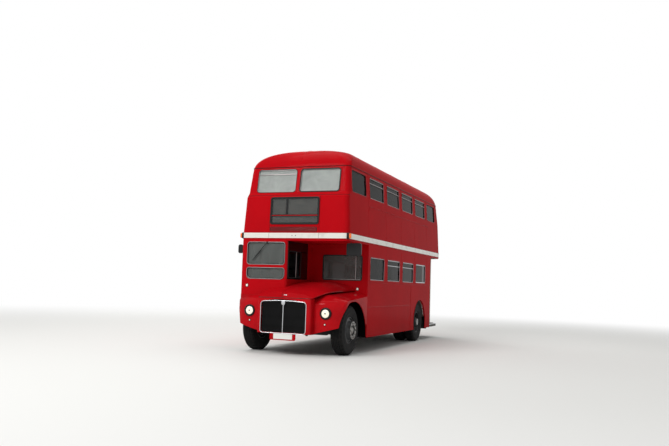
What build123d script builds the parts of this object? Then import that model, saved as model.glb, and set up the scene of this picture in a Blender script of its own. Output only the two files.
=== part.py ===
from build123d import *
import os
from math import asin, cos, radians, sin

# Half-cab double decker bus with an open rear platform. Millimetres. The front faces -Y, the nearside
# with the platform is +X, the driver sits on the -X side, and the ground is z = 0.

os.makedirs("parts", exist_ok=True)

# Overall size
overall_length = 8395.0
body_width = 2438.0
overall_height = 4382.0
half_width = body_width / 2
tail_lamp_rise = 28.5
front_y = -overall_length / 2
rear_y = overall_length / 2 - tail_lamp_rise
wall = 45.0
reach = half_width + 200.0

# Running gear
wheelbase = 5131.0
front_overhang = 862.0
front_axle_y = front_y + front_overhang
rear_axle_y = front_axle_y + wheelbase
tyre_radius = 515.0
tyre_width = 270.0
rim_radius = 268.0
front_tyre_face_x = 1135.0
rear_tyre_face_x = 1170.0
twin_gap = 50.0
kingpin_x = 800.0
hub_z = tyre_radius

# Body levels
skirt_z = 330.0
floor_z = 680.0
floor_thickness = 40.0
cab_floor_z = 1190.0
canopy_z = 2330.0
upper_floor_z = 2490.0
eaves_z = 3900.0
band_z = (2380.0, 2490.0)
platform_z = 400.0
platform_thickness = 70.0

# Body stations
cab_front_y = -3860.0
bulkhead_y = -2575.0
saloon_rear_y = 2920.0
upper_front_y = -3856.0
front_corner_radius = 105.0
rear_corner_radius = 320.0
front_split_y = -3620.0
rear_split_y = 3700.0
rear_wall_edge_x = 650.0
cab_wall_x = -130.0
bonnet_seam_x = -45.0

# Windows
bay_count = 4
bay_centre_y = -1935.0
bay_pitch = 1258.0
bay_window_length = 1045.0
lower_window_z = (1556.0, 2080.0)
upper_window_z = (3362.0, 3850.0)
end_window_length = 930.0
window_corner_radius = 70.0
glass_depth = 18.0
glass_thickness = 6.0

# Clearances
fit_gap = 0.3
shut_gap = 6.0


def export(name, label):
    """Label a finished piece and write it as its own file."""
    name.part.label = label
    export_step(name.part, f"parts/{label}.step")


def plan_section(z, y_front, y_rear, half, r_front, r_rear):
    """Rounded plan outline of the body at one height."""
    with BuildSketch(Plane.XY.offset(z)) as section:
        with BuildLine():
            Line((-half + r_front, y_front), (half - r_front, y_front))
            CenterArc((half - r_front, y_front + r_front), r_front, -90, 90)
            Line((half, y_front + r_front), (half, y_rear - r_rear))
            CenterArc((half - r_rear, y_rear - r_rear), r_rear, 0, 90)
            Line((half - r_rear, y_rear), (-half + r_rear, y_rear))
            CenterArc((-half + r_rear, y_rear - r_rear), r_rear, 90, 90)
            Line((-half, y_rear - r_rear), (-half, y_front + r_front))
            CenterArc((-half + r_front, y_front + r_front), r_front, 180, 90)
        make_face()
    return section.sketch


# Upper body: height, setback of the front, setback of the rear, setback of each side, front corner radius,
# rear corner radius
upper_rings = (
    (canopy_z, 0.0, 0.0, 0.0, front_corner_radius, rear_corner_radius),
    (band_z[1], 0.0, 0.0, 0.0, front_corner_radius, rear_corner_radius),
    (3250.0, 23.0, 0.0, 41.0, front_corner_radius, rear_corner_radius),
    (3357.0, 102.0, 8.0, 47.0, front_corner_radius, rear_corner_radius),
    (eaves_z, 190.0, 148.0, 82.0, front_corner_radius, rear_corner_radius),
)
# Roof: share of the roof's rise, setback of the front, setback of the rear, setback of each side, front
# corner radius, rear corner radius
roof_rings = (
    (0.0, 190.0, 148.0, 82.0, 105.0, 320.0),
    (0.23, 226.0, 200.0, 101.0, 150.0, 340.0),
    (0.52, 330.0, 310.0, 172.0, 240.0, 400.0),
    (0.75, 480.0, 470.0, 315.0, 340.0, 450.0),
    (0.90, 660.0, 680.0, 530.0, 420.0, 460.0),
    (0.975, 880.0, 950.0, 810.0, 350.0, 350.0),
    (1.0, 1200.0, 1300.0, 1130.0, 80.0, 80.0),
)


def upper_body(inset):
    """Solid of the upper deck between canopy and eaves, drawn in by an inset."""
    sections = []
    for z, front, rear, side, r_front, r_rear in upper_rings:
        y_front = upper_front_y + front + inset
        y_rear = rear_y - rear - inset
        half = half_width - side - inset
        sections.append(plan_section(z, y_front, y_rear, half, r_front - inset, r_rear - inset))
    with BuildPart() as solid:
        loft(sections=sections, ruled=True)
    return solid.part


def roof_body(inset):
    """Solid of the domed roof, drawn in by an inset."""
    rise = overall_height - eaves_z - inset
    sections = []
    for share, front, rear, side, r_front, r_rear in roof_rings:
        y_front = upper_front_y + front + inset
        y_rear = rear_y - rear - inset
        half = half_width - side - inset
        z = eaves_z + share * rise
        sections.append(plan_section(z, y_front, y_rear, half, r_front - inset, r_rear - inset))
    with BuildPart() as solid:
        loft(sections=sections)
    return solid.part


def lower_body(inset):
    """Solid of the lower saloon and platform between skirt and canopy, drawn in by an inset."""
    section = plan_section(
        skirt_z, bulkhead_y, rear_y - inset, half_width - inset, 10.0, rear_corner_radius - inset
    )
    with BuildPart() as solid:
        add(section)
        extrude(amount=canopy_z - skirt_z)
    return solid.part


def region(x_range, y_range, z_range):
    """Box between two corners, used to part panels."""
    with BuildPart() as box:
        with Locations((sum(x_range) / 2, sum(y_range) / 2, sum(z_range) / 2)):
            Box(x_range[1] - x_range[0], y_range[1] - y_range[0], z_range[1] - z_range[0])
    return box.part


def side_prisms(centres, length, z_range, radius, x_range):
    """Rounded window shapes run through a side wall."""
    z_low, z_high = z_range
    with BuildPart() as prisms:
        with BuildSketch(Plane.YZ.offset(x_range[0])):
            with Locations(*[(y, (z_low + z_high) / 2) for y in centres]):
                RectangleRounded(length, z_high - z_low, radius)
        extrude(amount=x_range[1] - x_range[0])
    return prisms.part


def front_prism(x_range, z_range, radius, y_range):
    """Rounded window shape run through a front or rear wall."""
    x_low, x_high = x_range
    z_low, z_high = z_range
    with BuildPart() as prism:
        with BuildSketch(Plane.XZ.offset(-y_range[1])):
            with Locations(((x_low + x_high) / 2, (z_low + z_high) / 2)):
                RectangleRounded(x_high - x_low, z_high - z_low, radius)
        extrude(amount=y_range[1] - y_range[0])
    return prism.part


bay_centres = [bay_centre_y + i * bay_pitch for i in range(bay_count)]
pillar = bay_pitch - bay_window_length
end_window_centres = [
    bay_centres[0] - (bay_window_length + end_window_length) / 2 - pillar,
    bay_centres[-1] + (bay_window_length + end_window_length) / 2 + pillar,
]
body_z_span = (canopy_z - 400.0, eaves_z + 400.0)
front_y_span = (front_y - 100.0, front_split_y + 150.0)
side_x_span = {1: (half_width - 300.0, reach), -1: (-reach, -half_width + 300.0)}
half_x_span = {1: (0.0, reach), -1: (-reach, 0.0)}
upper_outer = upper_body(0.0)
upper_inner = upper_body(wall)

# Roof dome
with BuildPart() as roof:
    add(roof_body(0.0))
    add(roof_body(wall), mode=Mode.SUBTRACT)
export(roof, "roof")

# Upper side walls and their windows
for side, label in ((1, "upper_side_left"), (-1, "upper_side_right")):
    with BuildPart() as upper_side:
        add(upper_outer)
        add(upper_inner, mode=Mode.SUBTRACT)
        add(region(half_x_span[side], (front_split_y, rear_split_y), body_z_span), mode=Mode.INTERSECT)
        add(
            side_prisms(bay_centres, bay_window_length, upper_window_z, window_corner_radius,
                        side_x_span[side]),
            mode=Mode.SUBTRACT,
        )
        add(
            side_prisms(end_window_centres, end_window_length, upper_window_z, window_corner_radius,
                        side_x_span[side]),
            mode=Mode.SUBTRACT,
        )
    export(upper_side, label)

# Upper front with two windows, the opening for the destination box and the vent slot
front_windows_x = ((49.0, 948.0), (-948.0, -49.0))
front_window_z = (3364.0, 3858.0)
front_window_radius = 60.0
box_x = (-546.0, 546.0)
box_z = (2678.0, 3236.0)
box_radius = 40.0
vent_x = (-547.0, 519.0)
vent_z = (2525.0, 2612.0)
vent_radius = 12.0
louvre_count = 3
louvre_pitch = (vent_z[1] - vent_z[0]) / louvre_count
with BuildPart() as upper_front:
    add(upper_outer)
    add(upper_inner, mode=Mode.SUBTRACT)
    add(region((-reach, reach), (front_y, front_split_y), body_z_span), mode=Mode.INTERSECT)
    for window_x in front_windows_x:
        add(front_prism(window_x, front_window_z, front_window_radius, front_y_span), mode=Mode.SUBTRACT)
    add(front_prism(box_x, box_z, box_radius, front_y_span), mode=Mode.SUBTRACT)
    add(front_prism(vent_x, vent_z, vent_radius, front_y_span), mode=Mode.SUBTRACT)
    for i in range(louvre_count):
        blade_z = vent_z[0] + i * louvre_pitch
        with BuildSketch(Plane.YZ.offset(vent_x[0])):
            with BuildLine():
                Polyline(
                    (upper_front_y + 8.0, blade_z),
                    (upper_front_y + wall, blade_z + louvre_pitch - 8.0),
                    (upper_front_y + wall, blade_z + louvre_pitch),
                    (upper_front_y + 8.0, blade_z + 8.0),
                    close=True,
                )
            make_face()
        extrude(amount=vent_x[1] - vent_x[0])
export(upper_front, "upper_front")

# Destination box with its frames, dividers and blank blinds, and the vent louvre under it
blind_depth = 30.0
box_depth = 75.0
box_proud = 8.0
box_frame = 24.0
box_split_z = (2843.0, 2872.0)
box_divider_x = (-196.0, -168.0)
# Blind windows: x range, z range
blind_windows = (
    ((box_x[0] + box_frame, box_divider_x[0]), (box_split_z[1], box_z[1] - box_frame)),
    ((box_divider_x[1], box_x[1] - box_frame), (box_split_z[1], box_z[1] - box_frame)),
    ((box_x[0] + box_frame, box_x[1] - box_frame), (box_z[0] + box_frame, box_split_z[0])),
)
with BuildPart() as blind_recess:
    for x_range, z_range in blind_windows:
        add(front_prism(x_range, z_range, box_frame, front_y_span))
    add(upper_body(blind_depth), mode=Mode.SUBTRACT)
with BuildPart() as destination_box:
    add(front_prism(box_x, box_z, box_radius, front_y_span))
    add(upper_body(-box_proud), mode=Mode.INTERSECT)
    add(upper_body(box_depth), mode=Mode.SUBTRACT)
    add(blind_recess.part, mode=Mode.SUBTRACT)
export(destination_box, "destination_box")

# Upper rear with the opening for the emergency window, which lies in the leaning part of the wall
lean_low = (rear_y - upper_rings[3][2], upper_rings[3][0])
lean_high = (rear_y - upper_rings[4][2], upper_rings[4][0])
lean_rise = (0.0, lean_high[0] - lean_low[0], lean_high[1] - lean_low[1])
lean_plane = Plane(
    origin=(0.0, lean_low[0], lean_low[1]), x_dir=(-1.0, 0.0, 0.0), z_dir=(0.0, lean_rise[2], -lean_rise[1])
)
exit_width = 1010.0
exit_height = 440.0
exit_centre_up = 265.0
exit_radius = 70.0
exit_frame = 50.0
exit_thickness = 30.0

# Hinges with a pin: radius of pin and barrel, half length of the barrel and of the hinge, running gap
pin_radius = 5.0
barrel_radius = 10.0
barrel_half = 26.0
hinge_half = 45.0
hinge_stand = barrel_radius + 6.0
leaf_reach = 50.0
exit_hinge_x = exit_width / 2 - shut_gap / 2
exit_hinge_ups = (exit_centre_up - 120.0, exit_centre_up + 120.0)


def lean_prism(width, height, radius, depth_in, depth_out):
    """Rounded shape centred on the emergency window, run through the leaning rear wall."""
    with BuildPart() as prism:
        with BuildSketch(lean_plane.offset(-depth_in)):
            with Locations((0.0, exit_centre_up)):
                RectangleRounded(width, height, radius)
        extrude(amount=depth_in + depth_out)
    return prism.part


def exit_leaf(up_range, side, hole):
    """Hinge leaf on the leaning wall, from a barrel round the pin line to one side of it."""
    start = lean_plane.from_local_coords((exit_hinge_x, up_range[0], hinge_stand))
    plane = Plane(origin=start, x_dir=lean_plane.x_dir, z_dir=lean_plane.y_dir)
    with BuildPart() as leaf:
        with BuildSketch(plane):
            Circle(barrel_radius)
            with Locations((side * leaf_reach / 2, barrel_radius - 3.0)):
                Rectangle(leaf_reach, 6.0)
            with Locations((side * (leaf_reach + 8.0) / 2, (barrel_radius + hinge_stand) / 2)):
                Rectangle(leaf_reach - 8.0, hinge_stand - barrel_radius + 4.0)
            if hole:
                Circle(hole, mode=Mode.SUBTRACT)
        extrude(amount=up_range[1] - up_range[0])
    return leaf.part


with BuildPart() as upper_rear:
    add(upper_outer)
    add(upper_inner, mode=Mode.SUBTRACT)
    add(region((-reach, reach), (rear_split_y, rear_y + 10.0), body_z_span), mode=Mode.INTERSECT)
    add(lean_prism(exit_width, exit_height, exit_radius, 200.0, 100.0), mode=Mode.SUBTRACT)
    for up in exit_hinge_ups:
        add(exit_leaf((up - hinge_half, up - barrel_half), 1, 0.0))
        add(exit_leaf((up + barrel_half, up + hinge_half), 1, 0.0))
        pin_start = lean_plane.from_local_coords((exit_hinge_x, up - hinge_half, hinge_stand))
        with BuildSketch(Plane(origin=pin_start, x_dir=lean_plane.x_dir, z_dir=lean_plane.y_dir)):
            Circle(pin_radius)
        extrude(amount=2 * hinge_half)
export(upper_rear, "upper_rear")

with BuildPart() as emergency_window:
    add(
        lean_prism(exit_width - 2 * shut_gap, exit_height - 2 * shut_gap, exit_radius - shut_gap,
                   exit_thickness, 0.0)
    )
    add(
        lean_prism(exit_width - 2 * exit_frame, exit_height - 2 * exit_frame, exit_radius - 20.0,
                   exit_thickness + 10.0, 10.0),
        mode=Mode.SUBTRACT,
    )
    for up in exit_hinge_ups:
        add(exit_leaf((up - barrel_half + fit_gap, up + barrel_half - fit_gap), -1, pin_radius + fit_gap))
export(emergency_window, "emergency_window")

with BuildPart() as emergency_glass:
    with BuildSketch(lean_plane.offset(-glass_depth)):
        with Locations((0.0, exit_centre_up)):
            RectangleRounded(exit_width - 2 * exit_frame, exit_height - 2 * exit_frame, exit_radius - 20.0)
    extrude(amount=glass_thickness)
export(emergency_glass, "emergency_glass")

# Upper deck floor with the stairwell, and the soffit of the canopy over the bonnet
stair_x = (-1174.0, -600.0)
stair_y = (1990.0, 3900.0)
upper_floor_thickness = 50.0
with BuildPart() as upper_floor:
    add(upper_inner)
    add(
        region((-reach, reach), (front_y, rear_y), (upper_floor_z - upper_floor_thickness, upper_floor_z)),
        mode=Mode.INTERSECT,
    )
    add(region(stair_x, stair_y, (2000.0, 3000.0)), mode=Mode.SUBTRACT)
export(upper_floor, "upper_floor")

soffit_thickness = 20.0
with BuildPart() as canopy_soffit:
    add(upper_inner)
    add(
        region((cab_wall_x, reach), (front_y, bulkhead_y), (canopy_z, canopy_z + soffit_thickness)),
        mode=Mode.INTERSECT,
    )
export(canopy_soffit, "canopy_soffit")

# White band round the body: two grooves between three ribs
band_proud = 9.0
groove_depth = 5.0
band_third = (band_z[1] - band_z[0]) / 3
with BuildPart() as cantrail_band:
    for i in range(3):
        low = band_z[0] + i * band_third
        add(
            plan_section(low + 2.0, upper_front_y - band_proud, rear_y + band_proud,
                         half_width + band_proud, front_corner_radius + band_proud,
                         rear_corner_radius + band_proud)
        )
        extrude(amount=band_third - 4.0)
    add(
        plan_section(band_z[0], upper_front_y - band_proud + groove_depth,
                     rear_y + band_proud - groove_depth, half_width + band_proud - groove_depth,
                     front_corner_radius + band_proud, rear_corner_radius + band_proud)
    )
    extrude(amount=band_z[1] - band_z[0])
    add(
        plan_section(band_z[0] - 10.0, upper_front_y, rear_y, half_width, front_corner_radius,
                     rear_corner_radius)
    )
    extrude(amount=band_z[1] - band_z[0] + 20.0, mode=Mode.SUBTRACT)
export(cantrail_band, "cantrail_band")

# Lower saloon sides. The nearside ends at the platform with a rounded head, the driver's side runs on
arch_radius = 600.0
entrance_radius = 170.0
lower_outer = lower_body(0.0)
lower_inner = lower_body(wall)
lower_y_ends = {1: saloon_rear_y, -1: rear_split_y}
for side, label in ((1, "lower_side_left"), (-1, "lower_side_right")):
    with BuildPart() as lower_side:
        add(lower_outer)
        add(lower_inner, mode=Mode.SUBTRACT)
        add(
            region(side_x_span[side], (bulkhead_y + wall, lower_y_ends[side]), (skirt_z, canopy_z)),
            mode=Mode.INTERSECT,
        )
        add(
            side_prisms(bay_centres, bay_window_length, lower_window_z, window_corner_radius,
                        side_x_span[side]),
            mode=Mode.SUBTRACT,
        )
        with BuildSketch(Plane.YZ.offset(side_x_span[side][0])):
            with Locations((rear_axle_y, hub_z)):
                Circle(arch_radius)
        extrude(amount=500.0, mode=Mode.SUBTRACT)
        if side == 1:
            with BuildSketch(Plane.YZ.offset(half_width - wall)):
                with BuildLine():
                    Line((saloon_rear_y, canopy_z), (saloon_rear_y, canopy_z - entrance_radius))
                    CenterArc((saloon_rear_y + entrance_radius, canopy_z - entrance_radius),
                              entrance_radius, 90, 90)
                    Line((saloon_rear_y + entrance_radius, canopy_z), (saloon_rear_y, canopy_z))
                make_face()
            extrude(amount=wall)
    export(lower_side, label)

# Rear wall of the lower deck, wrapping the corner behind the stairs, with one window
rear_window_x = (-330.0, 450.0)
with BuildPart() as rear_wall:
    add(lower_outer)
    add(lower_inner, mode=Mode.SUBTRACT)
    add(region((-reach, rear_wall_edge_x), (rear_split_y, rear_y + 10.0), (skirt_z, canopy_z)),
        mode=Mode.INTERSECT)
    add(front_prism(rear_window_x, lower_window_z, window_corner_radius, (rear_y - 200.0, rear_y + 50.0)),
        mode=Mode.SUBTRACT)
export(rear_wall, "rear_wall")

# Bulkhead behind the engine and the cab
bulkhead_window_x = (152.0, 1080.0)
cab_back_window_x = (-880.0, -330.0)
bulkhead_window_z = (1550.0, 2100.0)
engine_bay_x = 480.0
bonnet_rear_z = 1505.0
bonnet_hinge_y = bulkhead_y - hinge_stand + 1.0
bonnet_hinge_x = (80.0, 270.0)


def bonnet_hinge(x_range, y_end, hole):
    """Barrel round the pin line of the bonnet with an arm towards one end."""
    with BuildPart() as knuckle_part:
        with BuildSketch(Plane.YZ.offset(x_range[0])):
            with Locations((bonnet_hinge_y, bonnet_rear_z)):
                Circle(barrel_radius)
            with Locations(((bonnet_hinge_y + y_end) / 2, bonnet_rear_z - barrel_radius + 0.5)):
                Rectangle(abs(y_end - bonnet_hinge_y), 2 * barrel_radius - 3.0)
            if hole:
                with Locations((bonnet_hinge_y, bonnet_rear_z)):
                    Circle(hole, mode=Mode.SUBTRACT)
        extrude(amount=x_range[1] - x_range[0])
    return knuckle_part.part


with BuildPart() as front_bulkhead:
    add(region((-half_width, half_width), (bulkhead_y, bulkhead_y + wall), (skirt_z, canopy_z)))
    for window_x in (bulkhead_window_x, cab_back_window_x):
        add(
            front_prism(window_x, bulkhead_window_z, window_corner_radius,
                        (bulkhead_y - 50.0, bulkhead_y + 100.0)),
            mode=Mode.SUBTRACT,
        )
    add(region((-engine_bay_x, engine_bay_x), (bulkhead_y - 50.0, bulkhead_y + 100.0),
               (skirt_z - 10.0, floor_z - floor_thickness)), mode=Mode.SUBTRACT)
    for x in bonnet_hinge_x:
        add(bonnet_hinge((x - hinge_half, x - barrel_half), bulkhead_y + 1.0, 0.0))
        add(bonnet_hinge((x + barrel_half, x + hinge_half), bulkhead_y + 1.0, 0.0))
        with BuildSketch(Plane.YZ.offset(x - hinge_half)):
            with Locations((bonnet_hinge_y, bonnet_rear_z)):
                Circle(pin_radius)
        extrude(amount=2 * hinge_half)
export(front_bulkhead, "front_bulkhead")

# Lower saloon floor, with a box over each pair of rear wheels
wheel_box_x = 540.0
wheel_box_radius = 570.0
wheel_box_wall = 25.0
with BuildPart() as lower_floor:
    add(region((-half_width + wall, half_width - wall), (bulkhead_y + wall, saloon_rear_y),
               (floor_z - floor_thickness, floor_z)))
    for side in (1, -1):
        span = sorted((side * wheel_box_x, side * (half_width - wall)))
        with BuildSketch(Plane.YZ.offset(span[0])):
            with Locations((rear_axle_y, hub_z)):
                Circle(wheel_box_radius + wheel_box_wall)
            with Locations((rear_axle_y, floor_z - floor_thickness - 500.0)):
                Rectangle(2000.0, 1000.0, mode=Mode.SUBTRACT)
        extrude(amount=span[1] - span[0])
    for side in (1, -1):
        inner_x = side * (wheel_box_x + wheel_box_wall)
        span = sorted((inner_x, side * (half_width - wall)))
        with BuildSketch(Plane.YZ.offset(span[0])):
            with Locations((rear_axle_y, hub_z)):
                Circle(wheel_box_radius)
        extrude(amount=span[1] - span[0], mode=Mode.SUBTRACT)
export(lower_floor, "lower_floor")

# Rear platform, rounded at its corners like the body above it, and the riser of its step
with BuildPart() as platform:
    add(
        plan_section(platform_z - platform_thickness, 0.0, rear_y - wall, half_width - wall, 10.0,
                     rear_corner_radius - wall)
    )
    extrude(amount=platform_thickness)
    add(region((-reach, reach), (-10.0, saloon_rear_y), (0.0, 1000.0)), mode=Mode.SUBTRACT)
    add(region((-half_width + wall, half_width - wall), (saloon_rear_y - wall, saloon_rear_y),
               (platform_z - platform_thickness, floor_z - floor_thickness)))
export(platform, "platform")

# Front wings: a domed top over each front wheel, a rounded nose for the headlamp and an arched side
wing_inner_x = 500.0
wing_front_y = -4165.0
wing_skin = 35.0
wing_flat_x = 760.0
wing_crown = 1193.0
wing_drop = 105.0
wing_slope = 0.077
wing_corner_radius = 95.0
wing_foot_z = 300.0
wing_arch_radius = 755.0
wing_arch_z = 356.0
wing_arch_y = front_axle_y - 10.0
wing_hem_z = (425.0, 617.0)
wing_lip = 28.0
valance_z = 760.0
spare = 60.0
# Nose line of the wing: distance behind its front, height
wing_nose = ((0.0, 930.0), (125.0, 1110.0), (465.0, 1245.0))


def wing_solid(inset, overhang):
    """Nearside wing as a closed block, drawn in from its nose and top, and run out past its side."""
    start = front_y - 100.0
    side_x = half_width + overhang
    nose_y = wing_front_y + inset
    crown_z = wing_crown - inset
    edge_z = wing_crown - wing_drop - inset
    corner = wing_corner_radius - inset
    nose_line = [(nose_y + back, z - inset) for back, z in wing_nose]
    with BuildPart() as block:
        with BuildSketch(Plane.XZ.offset(-start)):
            with BuildLine():
                Polyline((half_width + spare, edge_z - spare / 2), (half_width + spare, wing_foot_z),
                         (wing_inner_x, wing_foot_z), (wing_inner_x, crown_z), (wing_flat_x, crown_z))
                TangentArc((wing_flat_x, crown_z), (half_width + spare, edge_z - spare / 2),
                           tangent=(1.0, 0.0))
            make_face()
        extrude(amount=2 * (bulkhead_y - start), dir=(0.0, 1.0, wing_slope))
        with BuildSketch(Plane.XY):
            with BuildLine():
                Line((wing_inner_x - spare, nose_y), (side_x - corner, nose_y))
                CenterArc((side_x - corner, nose_y + corner), corner, -90, 90)
                Polyline((side_x, nose_y + corner), (side_x, bulkhead_y + overhang),
                         (wing_inner_x - spare, bulkhead_y + overhang), (wing_inner_x - spare, nose_y))
            make_face()
        extrude(amount=2000.0, mode=Mode.INTERSECT)
        with BuildSketch(Plane.YZ.offset(wing_inner_x - 2 * spare)):
            with BuildLine():
                TangentArc(nose_line[0], nose_line[1], tangent=(0.0, 1.0))
                Polyline(nose_line[1], nose_line[2], (bulkhead_y + spare, nose_line[2][1] + 300.0),
                         (bulkhead_y + spare, 100.0), (nose_y, 100.0), nose_line[0])
            make_face()
        extrude(amount=reach, mode=Mode.INTERSECT)
    return block.part


def bonnet_form(drop, edge_in, hem_drop):
    """Domed bonnet to the nearside of its seam as a closed block, drawn in under its top and edge."""
    sections = []
    for y, crown_z, flat_x, edge_x, edge_z, hem_z in bonnet_rings:
        low = hem_z - hem_drop
        with BuildSketch(Plane.XZ.offset(-y)) as section:
            with BuildLine():
                Polyline((edge_x - edge_in, edge_z - drop), (edge_x - edge_in, low),
                         (bonnet_seam_x, low), (bonnet_seam_x, crown_z - drop), (flat_x, crown_z - drop))
                TangentArc((flat_x, crown_z - drop), (edge_x - edge_in, edge_z - drop),
                           tangent=(1.0, 0.0))
            make_face()
        sections.append(section.sketch)
    with BuildPart() as block:
        loft(sections=sections)
    return block.part


# Bonnet: station, crown height, half of its flat top, edge from the middle, edge height, hem height
bonnet_nose_y = -4192.0
bonnet_nose_z = 1148.0
bonnet_rings = (
    (bonnet_nose_y, 1250.0, 150.0, 635.0, 1165.0, bonnet_nose_z),
    (-3830.0, 1360.0, 200.0, 745.0, 1262.0, 1245.0),
    (-3000.0, 1490.0, 300.0, 870.0, 1335.0, 1302.0),
    (bulkhead_y - shut_gap, bonnet_rear_z, 330.0, 925.0, 1370.0, 1330.0),
)
bonnet_skin = 25.0
bonnet_full = bonnet_form(0.0, 0.0, 0.0)
bonnet_core = bonnet_form(bonnet_skin, bonnet_skin, 2 * bonnet_skin)

# Radiator shell: outline, depth and opening
grille_x = (-530.0, 490.0)
grille_low_z = 445.0
grille_top_z = 1070.0
grille_crest_z = 1114.0
grille_radius = 62.0
shell_x = (-596.0, 596.0)
shell_z = (430.0, bonnet_nose_z - shut_gap)
shell_back_y = -3990.0
shell_radius = 45.0

wing_block = wing_solid(0.0, 0.0)
wing_hollow = wing_solid(wing_skin, 0.0)
wing_tool = wing_solid(0.0, spare / 2)
lamp_x = 855.0
lamp_z = 858.0
lamp_bowl_radius = 100.0
with BuildPart() as wing_side_lip:
    add(wing_block)
    add(region((half_width - wing_lip, reach), (front_y, 0.0), (0.0, 2000.0)), mode=Mode.INTERSECT)
    with BuildSketch(Plane.YZ.offset(half_width - 100.0)):
        with Locations((wing_arch_y, wing_arch_z)):
            Circle(wing_arch_radius)
    extrude(amount=200.0, mode=Mode.SUBTRACT)
with BuildPart() as wing_valance:
    add(wing_block)
    add(region((0.0, wing_inner_x + 25.0), (front_y, 0.0), (valance_z, 2000.0)), mode=Mode.INTERSECT)
with BuildPart() as wing_left:
    add(wing_block)
    add(wing_hollow, mode=Mode.SUBTRACT)
    add(wing_side_lip.part)
    add(wing_valance.part)
    with BuildSketch(Plane.XZ.offset(-bulkhead_y)):
        with BuildLine():
            Polyline((wing_inner_x - 10.0, 0.0), (wing_inner_x - 10.0, wing_hem_z[0]),
                     (half_width + 10.0, wing_hem_z[1]), (half_width + 10.0, 0.0), close=True)
        make_face()
    extrude(amount=2000.0, mode=Mode.SUBTRACT)
    with BuildSketch(Plane.XZ.offset(-wing_front_y - 200.0)):
        with Locations((lamp_x, lamp_z)):
            Circle(lamp_bowl_radius)
    extrude(amount=300.0, mode=Mode.SUBTRACT)
    add(region(shell_x, (front_y, shell_back_y), (0.0, bonnet_nose_z)), mode=Mode.SUBTRACT)
export(wing_left, "wing_left")
cab_floor_thickness = 25.0
with BuildPart() as wing_right:
    add(wing_left.part.mirror(Plane.YZ))
    add(
        region((-half_width + wall, 0.0), (cab_front_y + wall, 0.0),
               (cab_floor_z - cab_floor_thickness, 2000.0)),
        mode=Mode.SUBTRACT,
    )
export(wing_right, "wing_right")


# Bonnet: a domed skin with a deep front lip, opening beside the seam
with BuildPart() as bonnet_lip:
    add(bonnet_full)
    add(region((-reach, reach), (front_y, bonnet_nose_y + bonnet_skin), (bonnet_nose_z, 1400.0)),
        mode=Mode.INTERSECT)
with BuildPart() as bonnet_cover:
    add(bonnet_full)
    add(bonnet_core, mode=Mode.SUBTRACT)
    add(bonnet_lip.part)
with BuildPart() as bonnet:
    add(bonnet_cover.part)
    add(region((-reach, bonnet_seam_x + shut_gap), (front_y, 0.0), (1000.0, 2000.0)),
        mode=Mode.SUBTRACT)
    notch_y = bonnet_hinge_y - barrel_radius - shut_gap
    for x in bonnet_hinge_x:
        add(region((x - hinge_half - shut_gap, x + hinge_half + shut_gap), (notch_y, bulkhead_y),
                   (bonnet_rear_z - 100.0, bonnet_rear_z + 100.0)), mode=Mode.SUBTRACT)
        add(bonnet_hinge((x - barrel_half + fit_gap, x + barrel_half - fit_gap), notch_y - 4.0,
                         pin_radius + fit_gap))
export(bonnet, "bonnet")

# Half cab: rounded shell on the wing and the fixed part of the bonnet, with its windows and doorway
cowl_edge_x = -560.0
cowl_middle_x = (bonnet_rings[0][3] + cowl_edge_x) / 2
cowl_mirror = Plane(origin=(cowl_middle_x, 0.0, 0.0), z_dir=(1.0, 0.0, 0.0))
cab_corner_radius = 105.0
cab_seam_radius = 60.0
cab_low_z = 900.0
screen_x = (-1065.0, -180.0)
screen_upper_z = (1820.0, 2295.0)
screen_lower_z = (1520.0, 1757.0)
cab_window_z = (1560.0, 2120.0)
cab_side_window_y = (-3780.0, -3150.0)
quarter_window_y = (-3770.0, -3580.0)
rear_quarter_window_y = (-2910.0, -2650.0)
door_opening_y = (-3480.0, -3010.0)
door_opening_z = (1262.0, 2230.0)
door_thickness = 30.0
door_lap = 10.0
door_travel = 410.0
door_x = (-half_width + wall + shut_gap, -half_width + wall + shut_gap + door_thickness)
door_y = (door_opening_y[0] - door_lap, door_opening_y[1] + door_lap)
door_z = (door_opening_z[0] - door_lap, door_opening_z[1] + door_lap)


def cab_section(inset):
    """Plan of the cab between its front, its side and the bonnet seam, drawn in by an inset."""
    x_low = -half_width + inset
    x_high = cab_wall_x - inset
    y_front = cab_front_y + inset
    r_side = cab_corner_radius - inset
    r_seam = max(cab_seam_radius - inset, 5.0)
    with BuildSketch(Plane.XY.offset(cab_low_z - inset)) as section:
        with BuildLine():
            Line((x_low + r_side, y_front), (x_high - r_seam, y_front))
            CenterArc((x_high - r_seam, y_front + r_seam), r_seam, -90, 90)
            Polyline((x_high, y_front + r_seam), (x_high, bulkhead_y + inset), (x_low, bulkhead_y + inset),
                     (x_low, y_front + r_side))
            CenterArc((x_low + r_side, y_front + r_side), r_side, 180, 90)
        make_face()
    return section.sketch


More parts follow.
